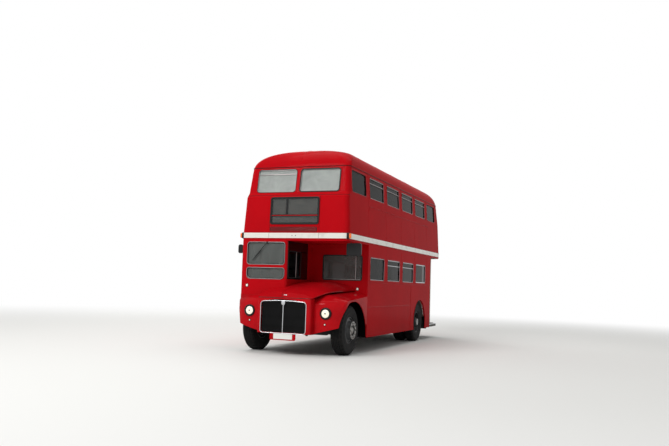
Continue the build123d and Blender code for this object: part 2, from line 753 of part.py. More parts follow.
with BuildPart() as cab_cowl:
    add(bonnet_cover.part.mirror(cowl_mirror))
    add(region((-reach, bonnet_seam_x), (front_y, cab_front_y + 1.0), (1000.0, 2000.0)),
        mode=Mode.INTERSECT)
with BuildPart() as cab_seam_strip:
    add(bonnet_cover.part.mirror(cowl_mirror))
    add(region((cab_wall_x - 1.0, bonnet_seam_x), (cab_front_y, 0.0), (1000.0, 2000.0)),
        mode=Mode.INTERSECT)
with BuildPart() as cab_shell:
    add(cab_section(0.0))
    extrude(amount=canopy_z - cab_low_z)
    add(cab_section(wall))
    extrude(amount=canopy_z - cab_low_z + 2 * wall, mode=Mode.SUBTRACT)
    for z_range in (screen_upper_z, screen_lower_z):
        add(front_prism(screen_x, z_range, 60.0, (cab_front_y - 50.0, cab_front_y + 150.0)),
            mode=Mode.SUBTRACT)
    for y_range in (quarter_window_y, rear_quarter_window_y):
        add(
            side_prisms([sum(y_range) / 2], y_range[1] - y_range[0], cab_window_z, 50.0, side_x_span[-1]),
            mode=Mode.SUBTRACT,
        )
    add(
        side_prisms([sum(cab_side_window_y) / 2], cab_side_window_y[1] - cab_side_window_y[0],
                    cab_window_z, 60.0, (cab_wall_x - 100.0, cab_wall_x + 50.0)),
        mode=Mode.SUBTRACT,
    )
    add(
        side_prisms([sum(door_opening_y) / 2], door_opening_y[1] - door_opening_y[0], door_opening_z,
                    60.0, side_x_span[-1]),
        mode=Mode.SUBTRACT,
    )
    add(cab_cowl.part)
    add(cab_seam_strip.part)
    add(wing_tool.mirror(Plane.YZ), mode=Mode.SUBTRACT)
    add(region((-wing_inner_x - spare, 0.0), (front_y, 0.0), (0.0, bonnet_nose_z)), mode=Mode.SUBTRACT)
    for rail_z_range in ((door_z[1] + shut_gap, door_z[1] + shut_gap + 30.0),
                         (cab_floor_z, door_z[0] - shut_gap)):
        add(region((-half_width + wall, door_x[1] + 14.0), (door_y[0], door_y[1] + door_travel),
                   rail_z_range))
export(cab_shell, "cab_shell")

# Floor of the cab, over the driver's side wheel, with the base of the seat
driver_x = -680.0
driver_y = -2950.0
driver_seat_z = 1390.0
driver_cushion = 90.0
with BuildPart() as cab_floor:
    add(cab_section(wall))
    extrude(amount=canopy_z)
    add(region((-reach, 0.0), (front_y, bulkhead_y), (cab_floor_z - cab_floor_thickness, cab_floor_z)),
        mode=Mode.INTERSECT)
    add(region((driver_x - 150.0, driver_x + 150.0), (driver_y - 150.0, driver_y + 150.0),
               (cab_floor_z, driver_seat_z - driver_cushion)))
export(cab_floor, "cab_floor")

# Sliding cab door, just inside the skin, with its window
door_window_z = (1560.0, 2130.0)
door_window_frame = 60.0
door_window_y = (door_y[0] + door_window_frame, door_y[1] - door_window_frame)
door_window_centre = [sum(door_window_y) / 2]
door_window_length = door_window_y[1] - door_window_y[0]
door_shoe = 60.0
with BuildPart() as cab_door:
    add(region(door_x, door_y, door_z))
    for shoe_y in (door_y[0] + 20.0, door_y[1] - 20.0 - door_shoe):
        add(region(door_x, (shoe_y, shoe_y + door_shoe), (door_z[0] - shut_gap + fit_gap, door_z[0])))
    add(
        side_prisms(door_window_centre, door_window_length, door_window_z, 50.0,
                    (door_x[0] - 50.0, door_x[1] + 50.0)),
        mode=Mode.SUBTRACT,
    )
export(cab_door, "cab_door")
with BuildPart() as cab_door_glass:
    add(
        side_prisms(door_window_centre, door_window_length, door_window_z, 50.0,
                    (door_x[0] + 12.0, door_x[0] + 12.0 + glass_thickness))
    )
export(cab_door_glass, "cab_door_glass")

# Radiator shell between the wings with its arched opening


def grille_prism(inset, y_range):
    """Arched outline of the radiator opening, drawn in by an inset and run front to back."""
    x_low = grille_x[0] + inset
    x_high = grille_x[1] - inset
    low = grille_low_z + inset
    top = grille_top_z - inset
    radius = grille_radius - inset
    middle = (x_low + x_high) / 2
    with BuildPart() as prism:
        with BuildSketch(Plane.XZ.offset(-y_range[1])):
            with BuildLine():
                Line((x_low, low), (x_high, low))
                Line((x_high, low), (x_high, top - radius))
                CenterArc((x_high - radius, top - radius), radius, 0, 90)
                ThreePointArc((x_high - radius, top), (middle, grille_crest_z - inset),
                              (x_low + radius, top))
                CenterArc((x_low + radius, top - radius), radius, 90, 90)
                Line((x_low, top - radius), (x_low, low))
            make_face()
        extrude(amount=y_range[1] - y_range[0])
    return prism.part


panel_x = (-300.0, 270.0)
panel_z = (295.0, shell_z[0])
panel_y = (-4182.0, -4160.0)
panel_radius = 30.0
with BuildPart() as grille_shell:
    add(region(shell_x, (bonnet_nose_y, shell_back_y), shell_z))
    front_corners = grille_shell.edges().filter_by(Axis.Z).group_by(Axis.Y)[0]
    fillet(front_corners, shell_radius)
    add(front_prism(panel_x, (panel_z[0], panel_z[1] + panel_radius), panel_radius, panel_y))
    add(grille_prism(0.0, (front_y - 50.0, shell_back_y + 50.0)), mode=Mode.SUBTRACT)
export(grille_shell, "grille_shell")

# Bright frame of the radiator with its middle bar and a plain boss
trim_width = 24.0
trim_y = (front_y + 2.0, front_y + 32.0)
middle_x = sum(grille_x) / 2
boss_radius = 36.0
with BuildPart() as grille_trim:
    add(grille_prism(0.0, trim_y))
    add(grille_prism(trim_width, (trim_y[0] - 10.0, trim_y[1] + 10.0)), mode=Mode.SUBTRACT)
    add(region((middle_x - 11.0, middle_x + 11.0), trim_y,
               (grille_low_z + trim_width - 1.0, grille_crest_z - trim_width)))
    with BuildSketch(Plane.XZ.offset(-trim_y[1])):
        with Locations((middle_x, grille_crest_z - boss_radius - 4.0)):
            Circle(boss_radius)
    extrude(amount=trim_y[1] - front_y)
export(grille_trim, "grille_trim")

# Fine upright slats of the radiator on three tie bars
slat_pitch = 20.0
slat_width = 5.0
slat_y = (trim_y[1], trim_y[1] + 22.0)
slat_count = int((grille_x[1] - grille_x[0] - 2 * trim_width) / slat_pitch)
tie_heights = (560.0, 760.0, 960.0)
with BuildPart() as grille_slats:
    with BuildSketch(Plane.XY.offset(grille_low_z)):
        with Locations((middle_x, sum(slat_y) / 2)):
            with GridLocations(slat_pitch, 1.0, slat_count, 1):
                Rectangle(slat_width, slat_y[1] - slat_y[0])
    extrude(amount=grille_crest_z - grille_low_z)
    for tie_z in tie_heights:
        add(region(grille_x, (slat_y[1], slat_y[1] + 6.0), (tie_z, tie_z + 14.0)))
    add(grille_prism(0.0, (front_y - 50.0, shell_back_y)), mode=Mode.INTERSECT)
export(grille_slats, "grille_slats")

# Bare number plate on the panel under the radiator
plate_x = (-214.0, 204.0)
plate_z = (317.0, 424.0)
plate_thickness = 4.0
with BuildPart() as number_plate:
    add(front_prism(plate_x, plate_z, 10.0, (panel_y[0] - plate_thickness, panel_y[0])))
export(number_plate, "number_plate")


def dome_arc(radius, base, rise):
    """Arc of a shallow dome from its rim to the axis, with its centre on the axis."""
    ball = (radius**2 + rise**2) / (2 * abs(rise))
    half_angle = asin(radius / ball) / 2
    sign = 1.0 if rise > 0 else -1.0
    middle = (ball * sin(half_angle), base + rise - sign * ball * (1 - cos(half_angle)))
    return ThreePointArc((radius, base), middle, (0.0, base + rise))


# Headlamps: bowl and bright rim let into the nose of each wing
lamp_rim_radius = 118.0
lamp_lens_radius = 88.0
with BuildPart() as headlamps:
    for side in (1, -1):
        lamp_plane = Plane(origin=(side * lamp_x, wing_front_y, lamp_z), x_dir=(1, 0, 0), z_dir=(0, 0, 1))
        with BuildSketch(lamp_plane):
            with BuildLine():
                Polyline((0.0, 90.0), (lamp_bowl_radius - 30.0, 70.0), (lamp_bowl_radius - 2.0, 0.0),
                         (lamp_rim_radius, 0.0))
                Line((lamp_rim_radius, 0.0), (lamp_rim_radius - 4.0, -12.0))
                ThreePointArc((lamp_rim_radius - 4.0, -12.0), (lamp_rim_radius - 14.0, -23.0),
                              (lamp_lens_radius + 2.0, -26.0))
                Polyline((lamp_lens_radius + 2.0, -26.0), (lamp_lens_radius, -10.0),
                         (lamp_lens_radius - 20.0, 60.0), (0.0, 75.0), (0.0, 90.0))
            make_face()
        revolve(axis=Axis((side * lamp_x, 0.0, lamp_z), (0, 1, 0)))
export(headlamps, "headlamps")
with BuildPart() as lamp_lenses:
    for side in (1, -1):
        lamp_plane = Plane(origin=(side * lamp_x, wing_front_y, lamp_z), x_dir=(1, 0, 0), z_dir=(0, 0, 1))
        with BuildSketch(lamp_plane):
            with BuildLine():
                Line((0.0, -6.0), (lamp_lens_radius - 2.0, -6.0))
                Line((lamp_lens_radius - 2.0, -6.0), (lamp_lens_radius - 2.0, -12.0))
                dome_arc(lamp_lens_radius - 2.0, -12.0, -19.0)
                Line((0.0, -31.0), (0.0, -6.0))
            make_face()
        revolve(axis=Axis((side * lamp_x, 0.0, lamp_z), (0, 1, 0)))
export(lamp_lenses, "lamp_lenses")

# Small lamps: low reflectors, side lamps on cab and bulkhead, tail lamps: x, z, face, radius, facing
lamp_base = 6.0
tail_lamp_radius = 2 * (tail_lamp_rise - lamp_base)
small_lamps = {
    "side_lamps": (
        (-1040.0, 1375.0, cab_front_y, 40.0, -1), (985.0, 1365.0, bulkhead_y, 36.0, -1),
        (845.0, 640.0, wing_front_y, 26.0, -1), (-845.0, 660.0, wing_front_y, 26.0, -1),
    ),
    "tail_lamps": (
        (-820.0, 900.0, rear_y, tail_lamp_radius, 1), (520.0, 900.0, rear_y, tail_lamp_radius, 1),
    ),
}
for label, lamps in small_lamps.items():
    with BuildPart() as small_lamp:
        for x, z, face_y, radius, facing in lamps:
            with BuildSketch(Plane(origin=(x, face_y, z), x_dir=(1, 0, 0), z_dir=(0, 0, 1))):
                with BuildLine():
                    Line((0.0, 0.0), (radius, 0.0))
                    Line((radius, 0.0), (radius, facing * lamp_base))
                    dome_arc(radius, facing * lamp_base, facing * radius / 2)
                    Line((0.0, facing * (lamp_base + radius / 2)), (0.0, 0.0))
                make_face()
            revolve(axis=Axis((x, 0.0, z), (0, 1, 0)))
    export(small_lamp, label)

# Amber indicators standing out of the band at both front corners
ear_x = (1170.0, 1290.0)
ear_y = (-3850.0, -3785.0)
ear_z = (2366.0, 2504.0)
with BuildPart() as band_block:
    add(
        plan_section(band_z[0] - 200.0, upper_front_y - band_proud - fit_gap, rear_y,
                     half_width + band_proud + fit_gap, front_corner_radius + band_proud,
                     rear_corner_radius + band_proud)
    )
    extrude(amount=500.0)
with BuildPart() as indicators:
    for side in (1, -1):
        with BuildSketch(Plane.YZ.offset(min(side * ear_x[0], side * ear_x[1]))):
            with Locations((sum(ear_y) / 2, sum(ear_z) / 2)):
                RectangleRounded(ear_y[1] - ear_y[0], ear_z[1] - ear_z[0], 26.0)
        extrude(amount=ear_x[1] - ear_x[0])
    add(band_block.part, mode=Mode.SUBTRACT)
export(indicators, "indicators")

# Driving mirrors on arms from the canopy corner and from the cab
mirror_reach = 1400.0
# Mirror: side, inner x, low z, high z, y
mirror_heads = ((1, 1075.0, 2050.0, 2306.0, -3560.0), (-1, 1290.0, 2060.0, 2250.0, -3660.0))
mirror_thickness = 30.0
with BuildPart() as mirrors:
    for side, inner_x, low, high, y in mirror_heads:
        x_span = sorted((side * inner_x, side * mirror_reach))
        add(front_prism(x_span, (low, high), 40.0, (y, y + mirror_thickness)))
    with BuildSketch(Plane.XY.offset(mirror_heads[0][3] - 1.0)):
        with Locations((1170.0, mirror_heads[0][4] + mirror_thickness / 2)):
            Circle(9.0)
    extrude(amount=canopy_z - mirror_heads[0][3] + 1.0)
    with BuildSketch(Plane.YZ.offset(-mirror_heads[1][1] - 1.0)):
        with Locations((mirror_heads[1][4] + mirror_thickness / 2, 2155.0)):
            Circle(9.0)
    extrude(amount=mirror_heads[1][1] - half_width + 1.0)
export(mirrors, "mirrors")

# Glass of the lower deck, the cab and the bulkhead
glass_x = {
    1: (half_width - glass_depth - glass_thickness, half_width - glass_depth),
    -1: (-half_width + glass_depth, -half_width + glass_depth + glass_thickness),
}
with BuildPart() as lower_glass:
    for side in (1, -1):
        add(side_prisms(bay_centres, bay_window_length, lower_window_z, window_corner_radius,
                        glass_x[side]))
    rear_pane_y = (rear_y - glass_depth - glass_thickness, rear_y - glass_depth)
    add(front_prism(rear_window_x, lower_window_z, window_corner_radius, rear_pane_y))
    for window_x in (bulkhead_window_x, cab_back_window_x):
        add(front_prism(window_x, bulkhead_window_z, window_corner_radius,
                        (bulkhead_y + glass_depth, bulkhead_y + glass_depth + glass_thickness)))
    for z_range in (screen_upper_z, screen_lower_z):
        add(front_prism(screen_x, z_range, 60.0,
                        (cab_front_y + glass_depth, cab_front_y + glass_depth + glass_thickness)))
    for y_range in (quarter_window_y, rear_quarter_window_y):
        add(side_prisms([sum(y_range) / 2], y_range[1] - y_range[0], cab_window_z, 50.0, glass_x[-1]))
    add(
        side_prisms([sum(cab_side_window_y) / 2], cab_side_window_y[1] - cab_side_window_y[0],
                    cab_window_z, 60.0,
                    (cab_wall_x - glass_depth - glass_thickness, cab_wall_x - glass_depth))
    )
export(lower_glass, "lower_glass")

# Glass of the upper deck, following the lean of its walls
with BuildPart() as upper_panes:
    for side in (1, -1):
        add(side_prisms(bay_centres, bay_window_length, upper_window_z, window_corner_radius,
                        side_x_span[side]))
        add(side_prisms(end_window_centres, end_window_length, upper_window_z, window_corner_radius,
                        side_x_span[side]))
    for window_x in front_windows_x:
        add(front_prism(window_x, front_window_z, front_window_radius, front_y_span))
with BuildPart() as upper_glass:
    add(upper_body(glass_depth))
    add(upper_body(glass_depth + glass_thickness), mode=Mode.SUBTRACT)
    add(upper_panes.part, mode=Mode.INTERSECT)
export(upper_glass, "upper_glass")

# Stairs up to the upper deck along the driver's side, with a side panel
step_count = 9
step_rise = (upper_floor_z - platform_z) / (step_count + 1)
step_run = 185.0
stair_start_y = 3845.0
stair_x_span = (-half_width + wall, -620.0)
stair_thickness = 30.0
top_line = [(stair_start_y, platform_z)]
for i in range(step_count):
    step_y = stair_start_y - i * step_run
    step_z = platform_z + (i + 1) * step_rise
    top_line.append((step_y, step_z))
    top_line.append((step_y - step_run, step_z))
top_line.append((stair_start_y - step_count * step_run, upper_floor_z))
under_line = [(y - stair_thickness, z - stair_thickness) for y, z in top_line[1:]]
under_line.append((top_line[-1][0] - stair_thickness, upper_floor_z))
with BuildPart() as staircase:
    with BuildSketch(Plane.YZ.offset(stair_x_span[0])):
        with BuildLine():
            Polyline(*top_line, *reversed(under_line), (stair_start_y - stair_thickness, platform_z),
                     close=True)
        make_face()
    extrude(amount=stair_x_span[1] - stair_x_span[0])
    with BuildSketch(Plane.YZ.offset(stair_x_span[1] - stair_thickness)):
        with BuildLine():
            Polyline((stair_start_y + 60.0, platform_z), (stair_start_y + 60.0, platform_z + 900.0),
                     (stair_start_y - 3.3 * step_run, canopy_z + 100.0),
                     (top_line[-1][0] - 20.0, canopy_z + 100.0),
                     (top_line[-1][0] - 20.0, canopy_z - 250.0),
                     (stair_start_y - 300.0, platform_z), close=True)
        make_face()
    extrude(amount=stair_thickness + 20.0)
export(staircase, "staircase")

# Seats: x ends of a double seat, floor height, first row, rows, pitch
seat_width = 860.0
seat_depth = 430.0
seat_pitch = 740.0
cushion_rise = 440.0
cushion_thickness = 110.0
back_rise = 930.0
back_thickness = 70.0
seat_aisle_x = 250.0
frame_gap = 1.0
# Seat rows: side, floor height, first front edge, row count
seat_rows = (
    (1, upper_floor_z, -3330.0, 10),
    (-1, upper_floor_z, -3330.0, 7),
    (1, floor_z, -2330.0, 4),
    (-1, floor_z, -2330.0, 4),
)
seats = [
    (sorted((side * seat_aisle_x, side * (seat_aisle_x + seat_width))), side, floor, first + i * seat_pitch)
    for side, floor, first, count in seat_rows
    for i in range(count)
]
bench_y = (rear_axle_y - 640.0, rear_axle_y + 640.0)
bench_low_z = hub_z + wheel_box_radius + wheel_box_wall
with BuildPart() as seat_cushions:
    for x_span, side, floor, y in seats:
        add(region(x_span, (y, y + seat_depth), (floor + cushion_rise - cushion_thickness,
                                                 floor + cushion_rise)))
        add(region(x_span, (y + seat_depth, y + seat_depth + back_thickness),
                   (floor + cushion_rise - 60.0, floor + back_rise)))
    for side in (1, -1):
        span = sorted((side * (wheel_box_x + 20.0), side * (half_width - wall - 80.0)))
        add(region(span, bench_y, (bench_low_z, bench_low_z + cushion_thickness)))
        back = sorted((side * (half_width - wall - 80.0), side * (half_width - wall)))
        add(region(back, bench_y, (bench_low_z, bench_low_z + 400.0)))
export(seat_cushions, "seat_cushions")

# Seat frames: an aisle leg and a wall bracket under each double seat
with BuildPart() as seat_frames:
    for x_span, side, floor, y in seats:
        low = floor + cushion_rise - cushion_thickness
        for leg_x in (x_span[0] + 60.0, x_span[1] - 85.0):
            with BuildSketch(Plane.YZ.offset(leg_x)):
                with BuildLine():
                    Polyline((y + 40.0, floor), (y + 400.0, floor), (y + 250.0, floor + 60.0),
                             (y + 400.0, low), (y + 30.0, low), (y + 180.0, floor + 60.0), close=True)
                make_face()
            extrude(amount=25.0)
export(seat_frames, "seat_frames")

# Driver's seat
with BuildPart() as driver_seat:
    add(region((driver_x - 220.0, driver_x + 220.0), (driver_y - 210.0, driver_y + 220.0),
               (driver_seat_z - driver_cushion, driver_seat_z)))
    add(region((driver_x - 210.0, driver_x + 210.0), (driver_y + 220.0, driver_y + 300.0),
               (driver_seat_z - 60.0, driver_seat_z + 430.0)))
export(driver_seat, "driver_seat")

# Steering column and wheel
wheel_tilt = 30.0
wheel_centre = (driver_x, -3390.0, 1600.0)
steering_dir = (0.0, sin(radians(wheel_tilt)), cos(radians(wheel_tilt)))
column_length = (wheel_centre[2] - cab_floor_z) / steering_dir[2]
column_foot = tuple(wheel_centre[i] - steering_dir[i] * column_length for i in range(3))
column_plane = Plane(origin=wheel_centre, x_dir=(1, 0, 0), z_dir=steering_dir)
steering_wheel_radius = 235.0
rim_section = 14.0
spoke_count = 3
column_top = 40.0
with BuildPart() as steering_column:
    with BuildSketch(column_plane.offset(-column_length - 60.0)):
        Circle(24.0)
    extrude(amount=column_length + 60.0 - column_top)
    add(region((-half_width, 0.0), (front_y, 0.0), (0.0, cab_floor_z)), mode=Mode.SUBTRACT)
export(steering_column, "steering_column")
with BuildPart() as steering_wheel:
    with BuildSketch(Plane(origin=wheel_centre, x_dir=(1, 0, 0), z_dir=(0, -steering_dir[2],
                                                                      steering_dir[1]))):
        with Locations((steering_wheel_radius, 0.0)):
            Circle(rim_section)
    revolve(axis=Axis(wheel_centre, steering_dir))
    with BuildSketch(column_plane.offset(-column_top + 1.0)):
        Circle(38.0)
    extrude(amount=column_top)
    with BuildSketch(column_plane.offset(-6.0)):
        with PolarLocations(steering_wheel_radius / 2, spoke_count, start_angle=90.0):
            Rectangle(steering_wheel_radius, 26.0)
    extrude(amount=10.0)
export(steering_wheel, "steering_wheel")

# Grab poles of the platform and the saloon: x, y, foot, head
pole_radius = 16.0
poles = (
    (960.0, 3960.0, platform_z, upper_floor_z - upper_floor_thickness),
    (640.0, 2990.0, platform_z, upper_floor_z - upper_floor_thickness),
    (300.0, saloon_rear_y - 120.0, floor_z, upper_floor_z - upper_floor_thickness),
    (-300.0, saloon_rear_y - 120.0, floor_z, upper_floor_z - upper_floor_thickness),
)
with BuildPart() as grab_poles:
    for x, y, foot, head in poles:
        with BuildSketch(Plane.XY.offset(foot)):
            with Locations((x, y)):
                Circle(pole_radius)
        extrude(amount=head - foot)
export(grab_poles, "grab_poles")

# Underframe: two long rails, cross members, bearers under the platform and the fuel tank
rail_x = (360.0, 440.0)
rail_z = (floor_z - floor_thickness - 60.0, floor_z - floor_thickness)
rail_y = (-3960.0, saloon_rear_y - wall)
# Cross members: station, half length
cross_members = (
    (-3900.0, 440.0), (-2200.0, 1160.0), (-1200.0, 1160.0), (-200.0, 1160.0), (800.0, 1160.0),
    (2600.0, 1160.0),
)
bearer_x = (330.0, 410.0)
tank_x = (-1120.0, -520.0)
tank_y = (-1300.0, -400.0)
tank_z = (rail_z[0] - 210.0, rail_z[0] + 15.0)
# Towing lugs, front and rear: x, y, bore height, top
tow_lug_thickness = 30.0
tow_lug_radius = 45.0
tow_bore_radius = 20.5
tow_lugs = ((400.0, -3905.0, 430.0, rail_z[0] + 10.0), (370.0, 4060.0, 225.0, 300.0))
# Jacking pads under the rails
jack_x = 400.0
jack_drop = 20.0
jack_stations = (-2200.0, 2350.0)
with BuildPart() as underframe:
    for side in (1, -1):
        add(region(sorted((side * rail_x[0], side * rail_x[1])), rail_y, rail_z))
        add(region(sorted((side * bearer_x[0], side * bearer_x[1])), (2500.0, rear_y - 100.0),
                   (270.0, platform_z - platform_thickness)))
        add(region(sorted((side * bearer_x[0], side * bearer_x[1])), (2500.0, 2600.0),
                   (270.0, rail_z[1])))
    for y, half in cross_members:
        add(region((-half, half), (y - 35.0, y + 35.0), (rail_z[0] + 10.0, rail_z[1])))
    for y in (3000.0, 4000.0):
        add(region((-1100.0, 1100.0 if y < 3500.0 else 900.0), (y - 35.0, y + 35.0),
                   (280.0, platform_z - platform_thickness)))
    with BuildSketch(Plane.XZ.offset(-tank_y[1])):
        with Locations((sum(tank_x) / 2, sum(tank_z) / 2)):
            RectangleRounded(tank_x[1] - tank_x[0], tank_z[1] - tank_z[0], 40.0)
    extrude(amount=tank_y[1] - tank_y[0])
    for side in (1, -1):
        for x, y, z, top in tow_lugs:
            low_x = side * x - tow_lug_thickness / 2
            with BuildSketch(Plane.YZ.offset(low_x)):
                with Locations((y, z)):
                    Circle(tow_lug_radius)
                with Locations((y, (z + top) / 2)):
                    Rectangle(2 * tow_lug_radius, top - z)
                with Locations((y, z)):
                    Circle(tow_bore_radius, mode=Mode.SUBTRACT)
            extrude(amount=tow_lug_thickness)
        for y in jack_stations:
            add(region((side * jack_x - 60.0, side * jack_x + 60.0), (y - 60.0, y + 60.0),
                       (rail_z[0] - jack_drop, rail_z[0] + 5.0)))
export(underframe, "underframe")

# Engine with its gearbox as one plain block, standing on the rails, with the radiator ahead of it
radiator_y = (-4125.0, -4055.0)
radiator_z = (470.0, 1060.0)
with BuildPart() as engine:
    add(region((-rail_x[0] + 20.0, rail_x[0] - 20.0), (-3860.0, bulkhead_y - 20.0), (rail_z[0], 1100.0)))
    add(region((grille_x[0] + 30.0, grille_x[1] - 30.0), radiator_y, radiator_z))
    add(region((-60.0, 60.0), (radiator_y[1], -3860.0), (900.0, 960.0)))
export(engine, "engine")

# Front axle beam with an eye for each kingpin, and its coil springs
eye_radius = 48.0
eye_half_height = 60.0
kingpin_radius = 22.0
beam_z = (385.0, 470.0)
with BuildPart() as front_axle:
    with BuildSketch(Plane.XZ.offset(-front_axle_y - 42.0)):
        with BuildLine():
            Polyline((-kingpin_x, hub_z - 50.0), (-kingpin_x + 60.0, hub_z - 50.0),
                     (-kingpin_x + 190.0, beam_z[0]), (kingpin_x - 190.0, beam_z[0]),
                     (kingpin_x - 60.0, hub_z - 50.0), (kingpin_x, hub_z - 50.0),
                     (kingpin_x, hub_z + 50.0), (kingpin_x - 90.0, hub_z + 30.0),
                     (kingpin_x - 230.0, beam_z[1]), (-kingpin_x + 230.0, beam_z[1]),
                     (-kingpin_x + 90.0, hub_z + 30.0), (-kingpin_x, hub_z + 50.0), close=True)
        make_face()
    extrude(amount=84.0)
    with BuildSketch(Plane.XY.offset(hub_z - eye_half_height)):
        with Locations((kingpin_x, front_axle_y), (-kingpin_x, front_axle_y)):
            Circle(eye_radius)
    extrude(amount=2 * eye_half_height)
    with BuildSketch(Plane.XY.offset(hub_z - eye_half_height - 50.0)):
        with Locations((kingpin_x, front_axle_y), (-kingpin_x, front_axle_y)):
            Circle(kingpin_radius + fit_gap)
    extrude(amount=2 * eye_half_height + 100.0, mode=Mode.SUBTRACT)
    with BuildSketch(Plane.XY.offset(beam_z[1])):
        with Locations((sum(rail_x) / 2, front_axle_y), (-sum(rail_x) / 2, front_axle_y)):
            Circle(55.0)
    extrude(amount=rail_z[0] - beam_z[1])
export(front_axle, "front_axle")

# Steering knuckles: a yoke over the eye, its kingpin, the stub axle and a rearward arm
stub_radius = 32.0
stub_end_x = 1085.0
yoke_radius = 48.0
yoke_lug = 28.0
yoke_gap = 1.0
arm_length = 220.0
arm_z = hub_z - eye_half_height - yoke_gap - yoke_lug
ball_radius = 12.0
brake_plate_x = 886.0
for side, label in ((1, "knuckle_left"), (-1, "knuckle_right")):
    with BuildPart() as knuckle:
        pin_place = (side * kingpin_x, front_axle_y)
        for lug_z in (arm_z, hub_z + eye_half_height + yoke_gap):
            with BuildSketch(Plane.XY.offset(lug_z)):
                with Locations(pin_place):
                    Circle(yoke_radius)
                with Locations((side * (kingpin_x + 45.0), front_axle_y)):
                    Rectangle(90.0, 2 * yoke_radius)
            extrude(amount=yoke_lug)
        with BuildSketch(Plane.XY.offset(arm_z)):
            with Locations(pin_place):
                Circle(kingpin_radius)
        extrude(amount=2 * (eye_half_height + yoke_gap + yoke_lug))
        add(
            region(sorted((side * (kingpin_x + 56.0), side * brake_plate_x)),
                   (front_axle_y - yoke_radius, front_axle_y + yoke_radius),
                   (arm_z, hub_z + eye_half_height + yoke_gap + yoke_lug))
        )
        with BuildSketch(Plane.YZ.offset(side * brake_plate_x)):
            with Locations((front_axle_y, hub_z)):
                Circle(190.0)
        extrude(amount=side * 8.0)
        with BuildSketch(Plane.YZ.offset(side * brake_plate_x)):
            with Locations((front_axle_y, hub_z)):
                Circle(stub_radius)
        extrude(amount=side * (stub_end_x - brake_plate_x))
        add(region((side * kingpin_x - 20.0, side * kingpin_x + 20.0),
                   (front_axle_y, front_axle_y + arm_length + 20.0), (arm_z, arm_z + 24.0)))
        with BuildSketch(Plane.XY.offset(arm_z - 40.0)):
            with Locations((side * kingpin_x, front_axle_y + arm_length)):
                Circle(ball_radius)
        extrude(amount=41.0)
    export(knuckle, label)

# Track rod between the knuckle arms, with an open eye at each end
rod_radius = 16.0
rod_z = arm_z - 22.0
rod_eye_radius = 28.0
with BuildPart() as track_rod:
    with BuildSketch(Plane.YZ.offset(-kingpin_x + 20.0)):
        with Locations((front_axle_y + arm_length, rod_z)):
            Circle(rod_radius)
    extrude(amount=2 * kingpin_x - 40.0)
    with BuildSketch(Plane.XY.offset(rod_z - 14.0)):
        with Locations(*[(side * kingpin_x, front_axle_y + arm_length) for side in (1, -1)]):
            Circle(rod_eye_radius)
    extrude(amount=28.0)
    with BuildSketch(Plane.XY.offset(rod_z - 50.0)):
        with Locations(*[(side * kingpin_x, front_axle_y + arm_length) for side in (1, -1)]):
            Circle(ball_radius + 2 * fit_gap)
    extrude(amount=100.0, mode=Mode.SUBTRACT)
export(track_rod, "track_rod")

# Rear axle tube with its round casing, spring pads and the propeller shaft
rear_tube_radius = 58.0
casing_radius = 115.0
rear_stub_x = 1130.0
rear_stub_radius = 40.0
with BuildPart() as rear_axle:
    with BuildSketch(Plane.YZ.offset(-560.0)):
        with Locations((rear_axle_y, hub_z)):
            Circle(rear_tube_radius)
    extrude(amount=1120.0)
    with BuildSketch(Plane.YZ.offset(-rear_stub_x)):
        with Locations((rear_axle_y, hub_z)):
            Circle(rear_stub_radius)
    extrude(amount=2 * rear_stub_x)
    with BuildSketch(Plane.YZ.offset(-110.0)):
        with Locations((rear_axle_y, hub_z)):
            Circle(casing_radius)
    extrude(amount=220.0)
    with BuildSketch(Plane.XZ.offset(-rear_axle_y)):
        with Locations((0.0, hub_z)):
            Circle(36.0)
    extrude(amount=rear_axle_y - bulkhead_y + 20.0)
    for side in (1, -1):
        add(region(sorted((side * rail_x[0], side * rail_x[1])),
                   (rear_axle_y - 50.0, rear_axle_y + 50.0), (hub_z + 20.0, rail_z[0])))
export(rear_axle, "rear_axle")


def tyre_ring(x_outer, side):
    """Profile of one tyre from bead to tread, for a revolve about the axle line."""
    shoulder = 34.0
    bulge = 14.0
    with BuildSketch(Plane.XY.offset(hub_z)) as section:
        with BuildLine():
            inner = x_outer - tyre_width
            middle_radius = (rim_radius + tyre_radius) / 2
            ThreePointArc((inner + bulge + 14.0, rim_radius), (inner, middle_radius),
                          (inner + bulge, tyre_radius - shoulder))
            Line((inner + bulge, tyre_radius - shoulder), (inner + bulge + shoulder, tyre_radius))
            Line((inner + bulge + shoulder, tyre_radius), (x_outer - bulge - shoulder, tyre_radius))
            Line((x_outer - bulge - shoulder, tyre_radius), (x_outer - bulge, tyre_radius - shoulder))
            ThreePointArc((x_outer - bulge, tyre_radius - shoulder), (x_outer, middle_radius),
                          (x_outer - bulge - 14.0, rim_radius))
            Line((x_outer - bulge - 14.0, rim_radius), (inner + bulge + 14.0, rim_radius))
        make_face()
    sketch = section.sketch
    if side == -1:
        sketch = sketch.mirror(Plane.YZ)
    return sketch


